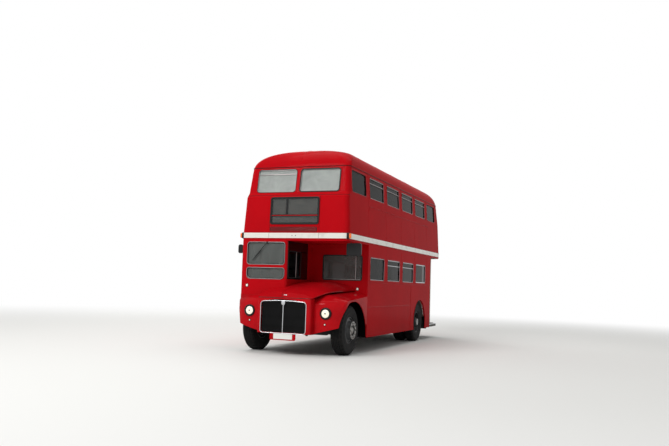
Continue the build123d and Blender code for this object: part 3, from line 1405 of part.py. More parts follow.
hub_bore = stub_radius + 2 * fit_gap
rim_wall = 10.0
drum_radius = 200.0
nut_ring_radius = 182.0
for side, end in ((1, "left"), (-1, "right")):
    with BuildPart() as front_tyre:
        with BuildSketch(Plane(origin=(0.0, front_axle_y, hub_z))):
            add(tyre_ring(front_tyre_face_x, side).moved(Location((0, 0, -hub_z))))
        revolve(axis=Axis((0.0, front_axle_y, hub_z), (1, 0, 0)))
    export(front_tyre, f"front_tyre_{end}")
    # Front rim: distance from the middle, radius
    face = front_tyre_face_x
    rim_line = (
        (face - 28.0, rim_radius), (face - tyre_width + 28.0, rim_radius),
        (face - tyre_width + 28.0, rim_radius - rim_wall), (face - 75.0, rim_radius - rim_wall - 8.0),
        (face - 90.0, drum_radius), (brake_plate_x + 14.0, drum_radius),
        (brake_plate_x + 14.0, drum_radius - 12.0), (face - 75.0, drum_radius - 12.0),
        (face - 75.0, hub_bore), (stub_end_x + 5.0, hub_bore),
        (stub_end_x + 5.0, 0.0), (face + 15.0, 0.0), (face + 15.0, 70.0), (face - 25.0, 82.0),
        (face - 25.0, 120.0), (face + 30.0, nut_ring_radius - 22.0), (face + 55.0, nut_ring_radius - 12.0),
        (face + 55.0, nut_ring_radius), (face + 20.0, nut_ring_radius + 4.0),
        (face - 30.0, nut_ring_radius + 20.0), (face - 55.0, rim_radius - rim_wall - 6.0),
        (face - 28.0, rim_radius - rim_wall),
    )
    with BuildPart() as front_rim:
        with BuildSketch(Plane(origin=(0.0, front_axle_y, hub_z))):
            with BuildLine():
                Polyline(*[(side * x, r) for x, r in rim_line], close=True)
            make_face()
        revolve(axis=Axis((0.0, front_axle_y, hub_z), (1, 0, 0)))
    export(front_rim, f"front_rim_{end}")
    with BuildPart() as rear_tyres:
        for x_face in (rear_tyre_face_x, rear_tyre_face_x - tyre_width - twin_gap):
            with BuildSketch(Plane(origin=(0.0, rear_axle_y, hub_z))):
                add(tyre_ring(x_face, side).moved(Location((0, 0, -hub_z))))
            revolve(axis=Axis((0.0, rear_axle_y, hub_z), (1, 0, 0)))
    export(rear_tyres, f"rear_tyres_{end}")
    # Rear rims: one barrel through both tyres, dished deep to the hub
    face = rear_tyre_face_x
    inner = rear_tyre_face_x - 2 * tyre_width - twin_gap
    rear_line = (
        (face - 28.0, rim_radius), (inner + 28.0, rim_radius), (inner + 28.0, rim_radius - rim_wall),
        (face - 190.0, rim_radius - rim_wall - 8.0), (face - 190.0, rear_stub_radius + 2 * fit_gap),
        (rear_stub_x + 5.0, rear_stub_radius + 2 * fit_gap), (rear_stub_x + 5.0, 0.0),
        (face - 10.0, 0.0), (face - 10.0, 90.0), (face - 40.0, 110.0), (face - 150.0, 125.0),
        (face - 165.0, 200.0), (face - 150.0, rim_radius - rim_wall - 14.0),
        (face - 28.0, rim_radius - rim_wall),
    )
    with BuildPart() as rear_rims:
        with BuildSketch(Plane(origin=(0.0, rear_axle_y, hub_z))):
            with BuildLine():
                Polyline(*[(side * x, r) for x, r in rear_line], close=True)
            make_face()
        revolve(axis=Axis((0.0, rear_axle_y, hub_z), (1, 0, 0)))
    export(rear_rims, f"rear_rims_{end}")
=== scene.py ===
import bpy
import bmesh
import math
from mathutils import Matrix, Vector


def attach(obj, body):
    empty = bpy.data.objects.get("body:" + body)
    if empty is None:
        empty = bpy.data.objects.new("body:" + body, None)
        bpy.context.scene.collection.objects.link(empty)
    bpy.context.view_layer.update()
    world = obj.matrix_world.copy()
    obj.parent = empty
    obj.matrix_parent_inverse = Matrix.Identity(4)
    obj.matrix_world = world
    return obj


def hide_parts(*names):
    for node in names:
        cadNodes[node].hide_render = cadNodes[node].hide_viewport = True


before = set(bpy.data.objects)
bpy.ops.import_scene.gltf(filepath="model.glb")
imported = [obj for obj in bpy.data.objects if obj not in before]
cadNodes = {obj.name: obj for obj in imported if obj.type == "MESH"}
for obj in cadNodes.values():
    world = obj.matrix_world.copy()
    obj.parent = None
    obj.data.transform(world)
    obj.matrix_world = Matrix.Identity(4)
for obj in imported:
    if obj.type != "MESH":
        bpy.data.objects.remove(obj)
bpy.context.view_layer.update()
print("frame loaded")

# camera, light and stage, which are set up at the end
cameraPlace = {"spot": (6.3167, -17.3589, 1.4194), "yaw": 21.8248, "pitch": 5.0059, "roll": 1.8653,
               "lens": 38.585, "sensorWidth": 36.0, "clipEnd": 500.0}
studio = {
    "floorSize": 260.0, "floorColour": "#dededb", "worldStrength": 0.42, "fadeFrom": 8.5, "fadeTo": 24.0,
    # name, place, size, power, aims at
    "lamps": (
        ("keyLamp", (-5.0, -20.0, 15.0), 10.0, 2900.0, (0.0, -1.0, 2.0)),
        ("kerbLamp", (20.0, -2.0, 10.0), 10.0, 60.0, (0.0, 0.0, 2.0)),
        ("topLamp", (0.0, 1.0, 18.0), 14.0, 1300.0, (0.0, 0.0, 2.0)),
        ("backLamp", (-15.0, 15.0, 11.0), 12.0, 1300.0, (0.0, 0.0, 2.0)),
    ),
}


# colours and nodes
def linearColour(hexColour):
    # from sRGB hex to the linear colour that a shader takes
    values = []
    for start in (1, 3, 5):
        c = int(hexColour[start:start + 2], 16) / 255
        values.append(c / 12.92 if c <= 0.04045 else ((c + 0.055) / 1.055) ** 2.4)
    return (*values, 1.0)


def addNode(tree, kind, settings, links):
    node = tree.nodes.new(kind)
    for key, value in settings.items():
        if isinstance(key, int) or key in node.inputs:
            node.inputs[key].default_value = value
        else:
            setattr(node, key, value)
    for key, source in links.items():
        tree.links.new(source, node.inputs[key])
    return node


def feedSurface(material, socketName, source):
    tree = material.node_tree
    tree.links.new(source, tree.nodes["Principled BSDF"].inputs[socketName])


def addGrain(material, grainMm, depthMm, strength):
    # unevenness of the surface; a wave is about as long as grainMm
    tree = material.node_tree
    place = addNode(tree, "ShaderNodeTexCoord", {}, {})
    noise = addNode(tree, "ShaderNodeTexNoise", {"Scale": 1000.0 / grainMm, "Detail": 2.0},
                    {"Vector": place.outputs["Object"]})
    bump = addNode(tree, "ShaderNodeBump", {"Distance": depthMm / 1000.0, "Strength": strength},
                   {"Height": noise.outputs["Fac"]})
    feedSurface(material, "Normal", bump.outputs["Normal"])


def addWear(material, hexColour, hexWorn, patchMm, low, high):
    # patches of a second colour, such as dust, oil or rubbed paint
    tree = material.node_tree
    place = addNode(tree, "ShaderNodeTexCoord", {}, {})
    patches = addNode(tree, "ShaderNodeTexNoise",
                      {"Scale": 1000.0 / patchMm, "Detail": 6.0, "Roughness": 0.6},
                      {"Vector": place.outputs["Object"]})
    share = addNode(tree, "ShaderNodeMapRange", {"From Min": low, "From Max": high},
                    {"Value": patches.outputs["Fac"]})
    mixed = addNode(tree, "ShaderNodeMix",
                    {"data_type": "RGBA", 6: linearColour(hexColour), 7: linearColour(hexWorn)},
                    {0: share.outputs["Result"]})
    feedSurface(material, "Base Color", mixed.outputs[2])
    return mixed


def newMaterial(name, hexColour, roughness, settings=None, grain=None, wear=None):
    # grain is grainMm, depthMm, strength; wear is hexWorn, patchMm, low, high
    material = bpy.data.materials.new(name)
    material.use_nodes = True
    surface = material.node_tree.nodes["Principled BSDF"]
    surface.inputs["Base Color"].default_value = linearColour(hexColour)
    surface.inputs["Roughness"].default_value = roughness
    for key, value in (settings or {}).items():
        surface.inputs[key].default_value = value
    if grain:
        addGrain(material, *grain)
    if wear:
        addWear(material, hexColour, *wear)
    return material


# coach paint; lengths in metres, pairs are from and to
red = {"coat": "#b40d16", "film": "#8e0a10", "saloon": "#c8bd9c", "chassis": "#121112",
       "underseal": "#0e0e0f", "ceilingZ": (3.8, 3.95), "endPull": 0.25, "inward": -0.2,
       "wallZ": (2.49, 3.9), "wallX": (1.177, 1.097), "floorZ": 0.66,
       "filmScale": 1.4, "filmFrom": (0.35, 0.8), "filmMost": 0.35,
       "dirtZ": (1.0, 0.3), "dirtMost": 0.3, "shelterX": 1.21, "shelterY": (-2.7, -2.5), "shelterZ": 1.13,
       "wheelX": 0.80, "wheelY": -3.3455, "wheelZ": 0.62, "wheelward": -0.02}


def coachPaint(name):
    # sprayed and varnished coach paint: a clear coat over colour, so the eye gets a hard shine over deep
    # red; inner faces of the walls and the roof are enamelled in the saloon's colour
    material = newMaterial(name, red["coat"], 0.42, {"Coat Weight": 0.16, "Coat Roughness": 0.06,
                                                     "Coat IOR": 1.18, "Specular IOR Level": 0.0})
    tree = material.node_tree
    place = addNode(tree, "ShaderNodeTexCoord", {}, {})
    facing = addNode(tree, "ShaderNodeNewGeometry", {}, {})
    parts = addNode(tree, "ShaderNodeSeparateXYZ", {}, {0: place.outputs["Object"]})
    x, y, z = (parts.outputs[axis] for axis in "XYZ")
    # a face is inward when it looks towards the middle of the bus, or down under the ceiling
    ceiling = addNode(tree, "ShaderNodeMapRange",
                      {"From Min": red["ceilingZ"][0], "From Max": red["ceilingZ"][1]}, {"Value": z})
    endPull = addNode(tree, "ShaderNodeMath", {"operation": "MULTIPLY", 1: red["endPull"]}, {0: y})
    outFrom = addNode(tree, "ShaderNodeCombineXYZ", {}, {0: x, 1: endPull.outputs[0],
                                                         2: ceiling.outputs["Result"]})
    turned = addNode(tree, "ShaderNodeVectorMath", {"operation": "DOT_PRODUCT"},
                     {0: outFrom.outputs[0], 1: facing.outputs["True Normal"]})
    inward = addNode(tree, "ShaderNodeMath", {"operation": "LESS_THAN", 1: red["inward"]},
                     {0: turned.outputs["Value"]})
    wallLean = addNode(tree, "ShaderNodeMapRange",
                       {"From Min": red["wallZ"][0], "From Max": red["wallZ"][1],
                        "To Min": red["wallX"][0], "To Max": red["wallX"][1]}, {"Value": z})
    across = addNode(tree, "ShaderNodeMath", {"operation": "ABSOLUTE"}, {0: x})
    within = addNode(tree, "ShaderNodeMath", {"operation": "LESS_THAN"},
                     {0: across.outputs[0], 1: wallLean.outputs["Result"]})
    aboveFloor = addNode(tree, "ShaderNodeMath", {"operation": "GREATER_THAN", 1: red["floorZ"]}, {0: z})
    inside = inward
    for source in (within, aboveFloor):
        inside = addNode(tree, "ShaderNodeMath", {"operation": "MULTIPLY"},
                         {0: inside.outputs[0], 1: source.outputs[0]})
    # a film of dirt, thicker near the ground
    film = addNode(tree, "ShaderNodeTexNoise", {"Scale": red["filmScale"], "Detail": 5.0, "Roughness": 0.6},
                   {"Vector": place.outputs["Object"]})
    filmed = addNode(tree, "ShaderNodeMapRange",
                     {"From Min": red["filmFrom"][0], "From Max": red["filmFrom"][1],
                      "To Max": red["filmMost"]}, {"Value": film.outputs["Fac"]})
    low = addNode(tree, "ShaderNodeMapRange",
                  {"From Min": red["dirtZ"][0], "From Max": red["dirtZ"][1], "To Max": red["dirtMost"]},
                  {"Value": z})
    dirt = addNode(tree, "ShaderNodeMath", {"operation": "ADD", "use_clamp": True},
                   {0: filmed.outputs["Result"], 1: low.outputs["Result"]})
    outer = addNode(tree, "ShaderNodeMix", {"data_type": "RGBA", 6: linearColour(red["coat"]),
                                            7: linearColour(red["film"])}, {0: dirt.outputs[0]})
    painted = addNode(tree, "ShaderNodeMix", {"data_type": "RGBA", 7: linearColour(red["saloon"])},
                      {0: inside.outputs[0], 6: outer.outputs[2]})
    # below the floor the inner faces and the bulkhead behind the wheels are chassis black
    sheltered = addNode(tree, "ShaderNodeMath", {"operation": "LESS_THAN", 1: red["shelterX"]},
                        {0: across.outputs[0]})
    for test, limit, source in (("LESS_THAN", red["shelterZ"], z), ("GREATER_THAN", red["shelterY"][0], y),
                                ("LESS_THAN", red["shelterY"][1], y)):
        side = addNode(tree, "ShaderNodeMath", {"operation": test, 1: limit}, {0: source})
        sheltered = addNode(tree, "ShaderNodeMath", {"operation": "MULTIPLY"},
                            {0: sheltered.outputs[0], 1: side.outputs[0]})
    belowFloor = addNode(tree, "ShaderNodeMath", {"operation": "SUBTRACT", 0: 1.0},
                         {1: aboveFloor.outputs[0]})
    lowInside = addNode(tree, "ShaderNodeMath", {"operation": "MULTIPLY"},
                        {0: belowFloor.outputs[0], 1: inward.outputs[0]})
    shade = addNode(tree, "ShaderNodeMath", {"operation": "MAXIMUM"},
                    {0: sheltered.outputs[0], 1: lowInside.outputs[0]})
    blacked = addNode(tree, "ShaderNodeMix", {"data_type": "RGBA", 7: linearColour(red["chassis"])},
                      {0: shade.outputs[0], 6: painted.outputs[2]})
    feedSurface(material, "Base Color", blacked.outputs[2])
    return material


def wingCoat(name):
    # the same paint on pressed and beaten pieces: a softer shine, with dirt in large patches
    material = newMaterial(name, red["coat"], 0.4, {"Coat Weight": 0.35, "Coat Roughness": 0.06,
                                                    "Coat IOR": 1.25, "Specular IOR Level": 0.0})
    mixed = addWear(material, red["coat"], red["film"], 600.0, 0.4, 0.8)
    addGrain(material, 300.0, 1.6, 0.1)
    return material, mixed


def shellPaint():
    # the front wings: coach paint outside, black underseal on the faces towards the wheel
    material, mixed = wingCoat("coachPaintWings")
    tree = material.node_tree
    place = addNode(tree, "ShaderNodeTexCoord", {}, {})
    facing = addNode(tree, "ShaderNodeNewGeometry", {}, {})
    parts = addNode(tree, "ShaderNodeSeparateXYZ", {}, {0: place.outputs["Object"]})
    side = addNode(tree, "ShaderNodeMath", {"operation": "SIGN"}, {0: parts.outputs["X"]})
    wheelX = addNode(tree, "ShaderNodeMath", {"operation": "MULTIPLY", 1: red["wheelX"]},
                     {0: side.outputs[0]})
    wheel = addNode(tree, "ShaderNodeCombineXYZ", {1: red["wheelY"], 2: red["wheelZ"]},
                    {0: wheelX.outputs[0]})
    outFrom = addNode(tree, "ShaderNodeVectorMath", {"operation": "SUBTRACT"},
                      {0: place.outputs["Object"], 1: wheel.outputs[0]})
    turned = addNode(tree, "ShaderNodeVectorMath", {"operation": "DOT_PRODUCT"},
                     {0: outFrom.outputs[0], 1: facing.outputs["True Normal"]})
    inward = addNode(tree, "ShaderNodeMath", {"operation": "LESS_THAN", 1: red["wheelward"]},
                     {0: turned.outputs["Value"]})
    painted = addNode(tree, "ShaderNodeMix", {"data_type": "RGBA", 7: linearColour(red["underseal"])},
                      {0: inward.outputs[0], 6: mixed.outputs[2]})
    feedSurface(material, "Base Color", painted.outputs[2])
    return material


bodyPaint = coachPaint("coachPaintBody")
addGrain(bodyPaint, 420.0, 2.2, 0.1)  # long waves of hand-hung aluminium panels
wingPaint = wingCoat("coachPaintTrim")[0]
wingShellPaint = shellPaint()
# brushed enamel: an even, slightly shiny cream that grime dulls in patches
creamEnamel = newMaterial("creamEnamel", "#e4e2da", 0.32, {"Coat Weight": 0.3, "Coat Roughness": 0.08},
                          wear=("#b9b4a6", 240.0, 0.5, 0.85))
# enamel baked on pressed steel: deep black, a soft shine and a slight orange peel
blackEnamel = newMaterial("blackStoveEnamel", "#0b0b0c", 0.4,
                          {"Coat Weight": 0.12, "Coat Roughness": 0.1, "Specular IOR Level": 0.2},
                          (60.0, 0.3, 0.15))
# brushed black paint: a dull dark grey under brown dust
chassisPaint = newMaterial("chassisPaint", "#1b1b1c", 0.62, wear=("#3a342c", 180.0, 0.45, 0.75))
# extruded rubber: matt black with a fine, dull skin; the same black paints shade in the louvre recess and
# under the bonnet lip
rubberAndShadeBlack = newMaterial("glazingRubberAndShade", "#0a0a0b", 0.6, {"Specular IOR Level": 0.3}, (6.0, 0.1, 0.3))
# mastic pressed into the panel joints: a dull line of very dark red; the same colour paints the shadow line
# under the gutter
jointAndShadowLine = newMaterial("jointSealantAndShadow", "#2a0507", 0.7, {"Specular IOR Level": 0.2}, (8.0, 0.1, 0.2))
# chrome plate over rolled brass: a bright mirror that is never quite flat
chromePlate = newMaterial("chromePlate", "#d6d7da", 0.08, {"Metallic": 1.0}, (90.0, 0.15, 0.08))
# satin anodised extrusion: pale metal with a broad, soft highlight
windowAlloy = newMaterial("windowAlloy", "#c3c5c8", 0.34, {"Metallic": 1.0}, (3.0, 0.05, 0.2))
# the same extrusion dulled by the weather, tinted pink as a painted reflection of the red body
screenAlloy = newMaterial("screenAlloy", "#9d9494", 0.42, {"Metallic": 0.9}, (3.0, 0.05, 0.2))
# sand-cast iron: dark, rough and a little metallic
castIron = newMaterial("castIron", "#2b2b2d", 0.72, {"Metallic": 0.4}, (5.0, 0.5, 0.5))
# bare linen blinds, faded unevenly by the sun
blindCloth = newMaterial("blindCloth", "#77736a", 0.85, wear=("#5c5b57", 160.0, 0.35, 0.75))
# white enamelled steel plate, almost flat
plateEnamel = newMaterial("plateEnamel", "#e6e6e1", 0.35, grain=(30.0, 0.1, 0.1))
# moulded acrylic prisms: saturated amber that seems to glow a little
amberLens = newMaterial("amberAcrylic", "#d9600a", 0.2,
                        {"Coat Weight": 0.4, "Emission Color": linearColour("#ff8420"),
                         "Emission Strength": 0.2}, (7.0, 0.4, 0.5))
# the same prisms in a dark, clear red
redLens = newMaterial("redAcrylic", "#8e0a0c", 0.16, {"Coat Weight": 0.6}, (7.0, 0.4, 0.5))
# pressed opal glass: milky white under a glossy skin
pearlLens = newMaterial("sideLampGlass", "#e9e6dc", 0.14,
                        {"Coat Weight": 0.6, "Emission Color": linearColour("#fff7e8"),
                         "Emission Strength": 0.15}, (6.0, 0.3, 0.4))
# drawn steel tube rubbed smooth by hands: grey metal with a soft shine
seatTube = newMaterial("seatTube", "#8d8f90", 0.35, {"Metallic": 0.9}, (20.0, 0.1, 0.1))
# coated cloth with an embossed grain, drawn coarser than the real 2 mm to show
leathercloth = newMaterial("leathercloth", "#17171a", 0.48, grain=(5.0, 0.35, 0.5))
# plastic sleeve shrunk on a steel pole: smooth ivory with a waxy shine
poleSleeve = newMaterial("poleSleeve", "#d9d5c6", 0.3, {"Coat Weight": 0.3}, (30.0, 0.2, 0.15))
# dark red gloss paint on steel steps, scuffed brown by shoes
stairPaint = newMaterial("stairPaint", "#5d1416", 0.5, wear=("#2e2220", 160.0, 0.45, 0.7))
# silvered float glass: a clear mirror
mirrorGlass = newMaterial("silveredGlass", "#cfd3d6", 0.03, {"Metallic": 1.0}, (200.0, 0.1, 0.03))
# moulded natural rubber: matt black under grey-brown dust in patches
tyreRubber = newMaterial("tyreRubber", "#0b0b0c", 0.85, {"Specular IOR Level": 0.25},
                         wear=("#1b1917", 70.0, 0.4, 0.8))
# dark silver paint on pressed wheels: a soft grey shine, brown with brake dust in patches
wheelPaint = newMaterial("wheelPaint", "#3a3b3d", 0.45, {"Metallic": 0.2}, wear=("#25211d", 60.0, 0.45, 0.75))
# bare pressed steel, once bright, now dulled in patches
guardSteel = newMaterial("nutGuardSteel", "#8f8d8a", 0.38, {"Metallic": 0.75},
                         wear=("#4c4842", 40.0, 0.45, 0.75))
rollerWave = (700.0, 1.2, 0.05)


def glassMaterial(name, hexColour, alpha, roughness, ior=1.52, coat=0.35):
    # a sheet of glass: smooth, a little green, with a faint roller wave that bends the reflections
    return newMaterial(name, hexColour, roughness,
                       {"IOR": ior, "Alpha": alpha, "Coat Weight": coat, "Coat Roughness": 0.02}, rollerWave)


saloonShadeTint = "#0b0f0f"
# toughened glass, tinted nearly black as painted shade of the unlit saloon behind it, with little shine
windowGlass = glassMaterial("toughenedGlass", saloonShadeTint, 0.7, 0.03, 1.12, 0.0)
# float glass over the blinds: grey with dust, with a glossy skin
blindGlass = glassMaterial("blindGlass", "#3d4243", 0.3, 0.04)
# painted shade: opaque black glass laid where the cab side falls in deep shadow, with a hard, dark reflection
# and the same roller wave
shadowBlackGlass = newMaterial("shadowBlackGlass", "#0b0d0e", 0.06, {"IOR": 1.52}, rollerWave)
# how pale the painted reflection makes the front panes; lengths in metres
frontReflection = {"pale": "#c3c8c4", "dull": "#8f9592", "lean": 0.7, "aheadOf": -2.4, "riseZ": (2.5, 3.2),
        "lowShare": 0.3, "reflectionScale": 2.6}


def paintFrontReflection():
    # painted reflection: panes that face forward are painted pale, as if they mirrored bright buildings and
    # sky, most of all upstairs
    tree = windowGlass.node_tree
    place = addNode(tree, "ShaderNodeTexCoord", {}, {})
    parts = addNode(tree, "ShaderNodeSeparateXYZ", {}, {0: place.outputs["Object"]})
    facing = addNode(tree, "ShaderNodeNewGeometry", {}, {})
    turned = addNode(tree, "ShaderNodeVectorMath", {"operation": "ABSOLUTE"},
                     {0: facing.outputs["True Normal"]})
    lean = addNode(tree, "ShaderNodeSeparateXYZ", {}, {0: turned.outputs[0]})
    forward = addNode(tree, "ShaderNodeMath", {"operation": "GREATER_THAN", 1: frontReflection["lean"]},
                      {0: lean.outputs["Y"]})
    ahead = addNode(tree, "ShaderNodeMath", {"operation": "LESS_THAN", 1: frontReflection["aheadOf"]},
                    {0: parts.outputs["Y"]})
    share = addNode(tree, "ShaderNodeMapRange",
                    {"From Min": frontReflection["riseZ"][0], "From Max": frontReflection["riseZ"][1], "To Min": frontReflection["lowShare"]},
                    {"Value": parts.outputs["Z"]})
    for source in (ahead, forward):
        share = addNode(tree, "ShaderNodeMath", {"operation": "MULTIPLY"},
                        {0: source.outputs[0], 1: share.outputs[0]})
    reflectionNoise = addNode(tree, "ShaderNodeTexNoise",
                    {"Scale": frontReflection["reflectionScale"], "Detail": 3.0, "Distortion": 1.2},
                    {"Vector": place.outputs["Object"]})
    reflectedTint = addNode(tree, "ShaderNodeMix", {"data_type": "RGBA", 6: linearColour(frontReflection["dull"]),
                                              7: linearColour(frontReflection["pale"])}, {0: reflectionNoise.outputs["Fac"]})
    mixed = addNode(tree, "ShaderNodeMix", {"data_type": "RGBA", 6: linearColour(saloonShadeTint)},
                    {0: share.outputs[0], 7: reflectedTint.outputs[2]})
    feedSurface(windowGlass, "Base Color", mixed.outputs[2])


def flutedGlass():
    # pressed headlamp glass with upright flutes, lit warm from behind
    material = newMaterial("flutedLampGlass", "#f6eedb", 0.12,
                           {"Coat Weight": 0.6, "Emission Color": linearColour("#fff4de"),
                            "Emission Strength": 0.28})
    tree = material.node_tree
    place = addNode(tree, "ShaderNodeTexCoord", {}, {})
    flutes = addNode(tree, "ShaderNodeTexWave", {"Scale": 32.0, "bands_direction": "X", "Distortion": 0.0},
                     {"Vector": place.outputs["Object"]})
    bump = addNode(tree, "ShaderNodeBump", {"Distance": 0.0016, "Strength": 0.6},
                   {"Height": flutes.outputs["Fac"]})
    feedSurface(material, "Normal", bump.outputs["Normal"])
    return material


def moquetteMaterial():
    # woven wool pile in a small red and dark check, in squares of 24 mm
    material = newMaterial("woolMoquette", "#6b1c20", 0.95, {"Sheen Weight": 0.35, "Sheen Roughness": 0.5})
    tree = material.node_tree
    place = addNode(tree, "ShaderNodeTexCoord", {}, {})
    check = addNode(tree, "ShaderNodeTexChecker", {"Scale": 42.0, "Color1": linearColour("#6f1d21"),
                                                   "Color2": linearColour("#2f2420")},
                    {"Vector": place.outputs["Object"]})
    fleck = addNode(tree, "ShaderNodeTexNoise", {"Scale": 260.0, "Detail": 2.0},
                    {"Vector": place.outputs["Object"]})
    mixed = addNode(tree, "ShaderNodeMix", {"data_type": "RGBA", "blend_type": "MULTIPLY", 0: 0.6},
                    {6: check.outputs["Color"], 7: fleck.outputs["Color"]})
    feedSurface(material, "Base Color", mixed.outputs[2])
    bump = addNode(tree, "ShaderNodeBump", {"Distance": 0.001, "Strength": 0.5},
                   {"Height": fleck.outputs["Fac"]})
    feedSurface(material, "Normal", bump.outputs["Normal"])
    return material


def treadMaterial():
    # ribbed rubber tread on boards: ribs run along the bus, 25 mm apart, under pale dust in patches
    material = newMaterial("ribbedTread", "#3a3834", 0.78)
    tree = material.node_tree
    place = addNode(tree, "ShaderNodeTexCoord", {}, {})
    ribs = addNode(tree, "ShaderNodeTexWave", {"Scale": 12.7, "bands_direction": "X", "wave_profile": "SAW"},
                   {"Vector": place.outputs["Object"]})
    dust = addNode(tree, "ShaderNodeTexNoise", {"Scale": 5.0, "Detail": 6.0},
                   {"Vector": place.outputs["Object"]})
    mixed = addNode(tree, "ShaderNodeMix", {"data_type": "RGBA", 6: linearColour("#34322f"),
                                            7: linearColour("#57534a")}, {0: dust.outputs["Fac"]})
    feedSurface(material, "Base Color", mixed.outputs[2])
    bump = addNode(tree, "ShaderNodeBump", {"Distance": 0.003, "Strength": 0.7},
                   {"Height": ribs.outputs["Fac"]})
    feedSurface(material, "Normal", bump.outputs["Normal"])
    return material


paintFrontReflection()
lampGlass, woolMoquette, ribbedTread = flutedGlass(), moquetteMaterial(), treadMaterial()
print("finishes mixed")


# modelling helpers
def deselectAll():
    if bpy.context.object and bpy.context.object.mode != "OBJECT":
        bpy.ops.object.mode_set(mode="OBJECT")
    bpy.ops.object.select_all(action="DESELECT")


def makeActive(piece):
    deselectAll()
    piece.select_set(True)
    bpy.context.view_layer.objects.active = piece


def putInFrame(piece, matrix):
    piece.matrix_world = matrix
    makeActive(piece)
    bpy.ops.object.transform_apply(location=True, rotation=True, scale=True)
    return piece


def dressPiece(piece, name, material, bodyName="bus_body", smoothAngle=35.0):
    # names the piece, gives it its finish and lets it ride on its body
    makeActive(piece)
    piece.name = name
    piece.data.name = name
    bpy.ops.object.transform_apply(location=True, rotation=True, scale=True)
    piece.data.materials.clear()
    piece.data.materials.append(material)
    bpy.ops.object.shade_smooth_by_angle(angle=math.radians(smoothAngle))
    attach(piece, bodyName)
    return piece


def applyModifier(piece, kind, settings):
    makeActive(piece)
    bpy.ops.object.modifier_add(type=kind)
    modifier = piece.modifiers[-1]
    for key, value in settings.items():
        setattr(modifier, key, value)
    bpy.ops.object.modifier_apply(modifier=modifier.name)


def joinPieces(pieces):
    deselectAll()
    for piece in pieces:
        piece.select_set(True)
    bpy.context.view_layer.objects.active = pieces[0]
    bpy.ops.object.join()
    return bpy.context.view_layer.objects.active


def copyPiece(piece, matrix):
    twin = piece.copy()
    twin.data = piece.data.copy()
    bpy.context.scene.collection.objects.link(twin)
    return putInFrame(twin, matrix)


def closeMesh(mergeWithin=0.0):
    # leaves edit mode with doubles merged and all faces pointing outwards
    bpy.ops.mesh.select_all(action="SELECT")
    if mergeWithin:
        bpy.ops.mesh.remove_doubles(threshold=mergeWithin)
    bpy.ops.mesh.normals_make_consistent(inside=False)
    bpy.ops.object.mode_set(mode="OBJECT")


def mirroredPiece(piece):
    # a twin on the other side of the bus, with its faces turned the right way again
    twin = copyPiece(piece, Matrix.Scale(-1, 4, (1, 0, 0)))
    bpy.ops.object.mode_set(mode="EDIT")
    closeMesh()
    return twin


def span(pair):
    return pair[1] - pair[0]


def middle(pair):
    return sum(pair) / 2


def placed(x, y, z, origin):
    # a frame from its three directions and its origin
    place = Matrix((x, y, z)).transposed().to_4x4()
    place.translation = Vector(origin)
    return place


def wallFrame(origin, across, up=(0, 0, 1)):
    # local X runs across the wall, local Y up it and local Z out of it
    x = Vector(across).normalized()
    y = Vector(up).normalized()
    return placed(x, y, x.cross(y), origin)


def outBy(place, distance):
    # the same frame, moved out of its wall
    return place @ Matrix.Translation((0, 0, distance))


def roundedPlate(width, height, radii, thickness, segments=6):
    # a flat plate on local XY from z = 0; radii from the lower left corner, turning left
    deselectAll()
    bpy.ops.mesh.primitive_plane_add(size=1.0)
    plate = bpy.context.object
    plate.scale = (width, height, 1.0)
    bpy.ops.object.transform_apply(location=False, rotation=False, scale=True)
    bpy.ops.object.mode_set(mode="EDIT")
    bpy.ops.mesh.select_mode(type="VERT")
    for corner, radius in zip(((-1, -1), (1, -1), (1, 1), (-1, 1)), radii):
        mesh = bmesh.from_edit_mesh(plate.data)
        for vert in mesh.verts:
            away = (vert.co.xy - Vector((corner[0] * width / 2, corner[1] * height / 2))).length
            vert.select_set(away < 1e-5)
        mesh.select_flush(True)
        bmesh.update_edit_mesh(plate.data)
        bpy.ops.mesh.bevel(offset=radius, segments=segments, affect="VERTICES")
    bpy.ops.mesh.select_all(action="SELECT")
    bpy.ops.mesh.remove_doubles(threshold=0.0002)
    if thickness:
        bpy.ops.mesh.extrude_region_move(TRANSFORM_OT_translate={"value": (0, 0, thickness)})
    closeMesh()
    return plate


def roundedFrame(width, height, radii, border, thickness, edge):
    # a frame of that border around a rounded opening, with its edges broken
    ring = roundedPlate(width, height, radii, 0.0)
    bpy.ops.object.mode_set(mode="EDIT")
    bpy.ops.mesh.select_mode(type="FACE")
    bpy.ops.mesh.select_all(action="SELECT")
    bpy.ops.mesh.inset(thickness=border)
    bpy.ops.mesh.delete(type="FACE")
    bpy.ops.mesh.select_all(action="SELECT")
    bpy.ops.mesh.extrude_region_move(TRANSFORM_OT_translate={"value": (0, 0, thickness)})
    closeMesh()
    applyModifier(ring, "BEVEL", {"width": edge, "segments": 2, "limit_method": "ANGLE",
                                  "angle_limit": math.radians(50)})
    return ring


def edgedBlock(size, edge, segments, limit="ANGLE"):
    # a block about the origin with its edges rounded
    deselectAll()
    bpy.ops.mesh.primitive_cube_add(size=1.0)
    block = bpy.context.object
    block.scale = size
    bpy.ops.object.transform_apply(location=False, rotation=False, scale=True)
    if edge:
        applyModifier(block, "BEVEL", {"width": edge, "segments": segments, "limit_method": limit})
    return block


def edgedBar(start, end, width, height, edge, out=(0, 0, 1)):
    # a bar with broken edges between two points; width lies across, height along out
    start, end, out = Vector(start), Vector(end), Vector(out)
    along = end - start
    bar = edgedBlock((along.length, width, height), edge, 3)
    x = along.normalized()
    z = (out - x * x.dot(out)).normalized()
    return putInFrame(bar, placed(x, z.cross(x), z, (start + end) / 2))


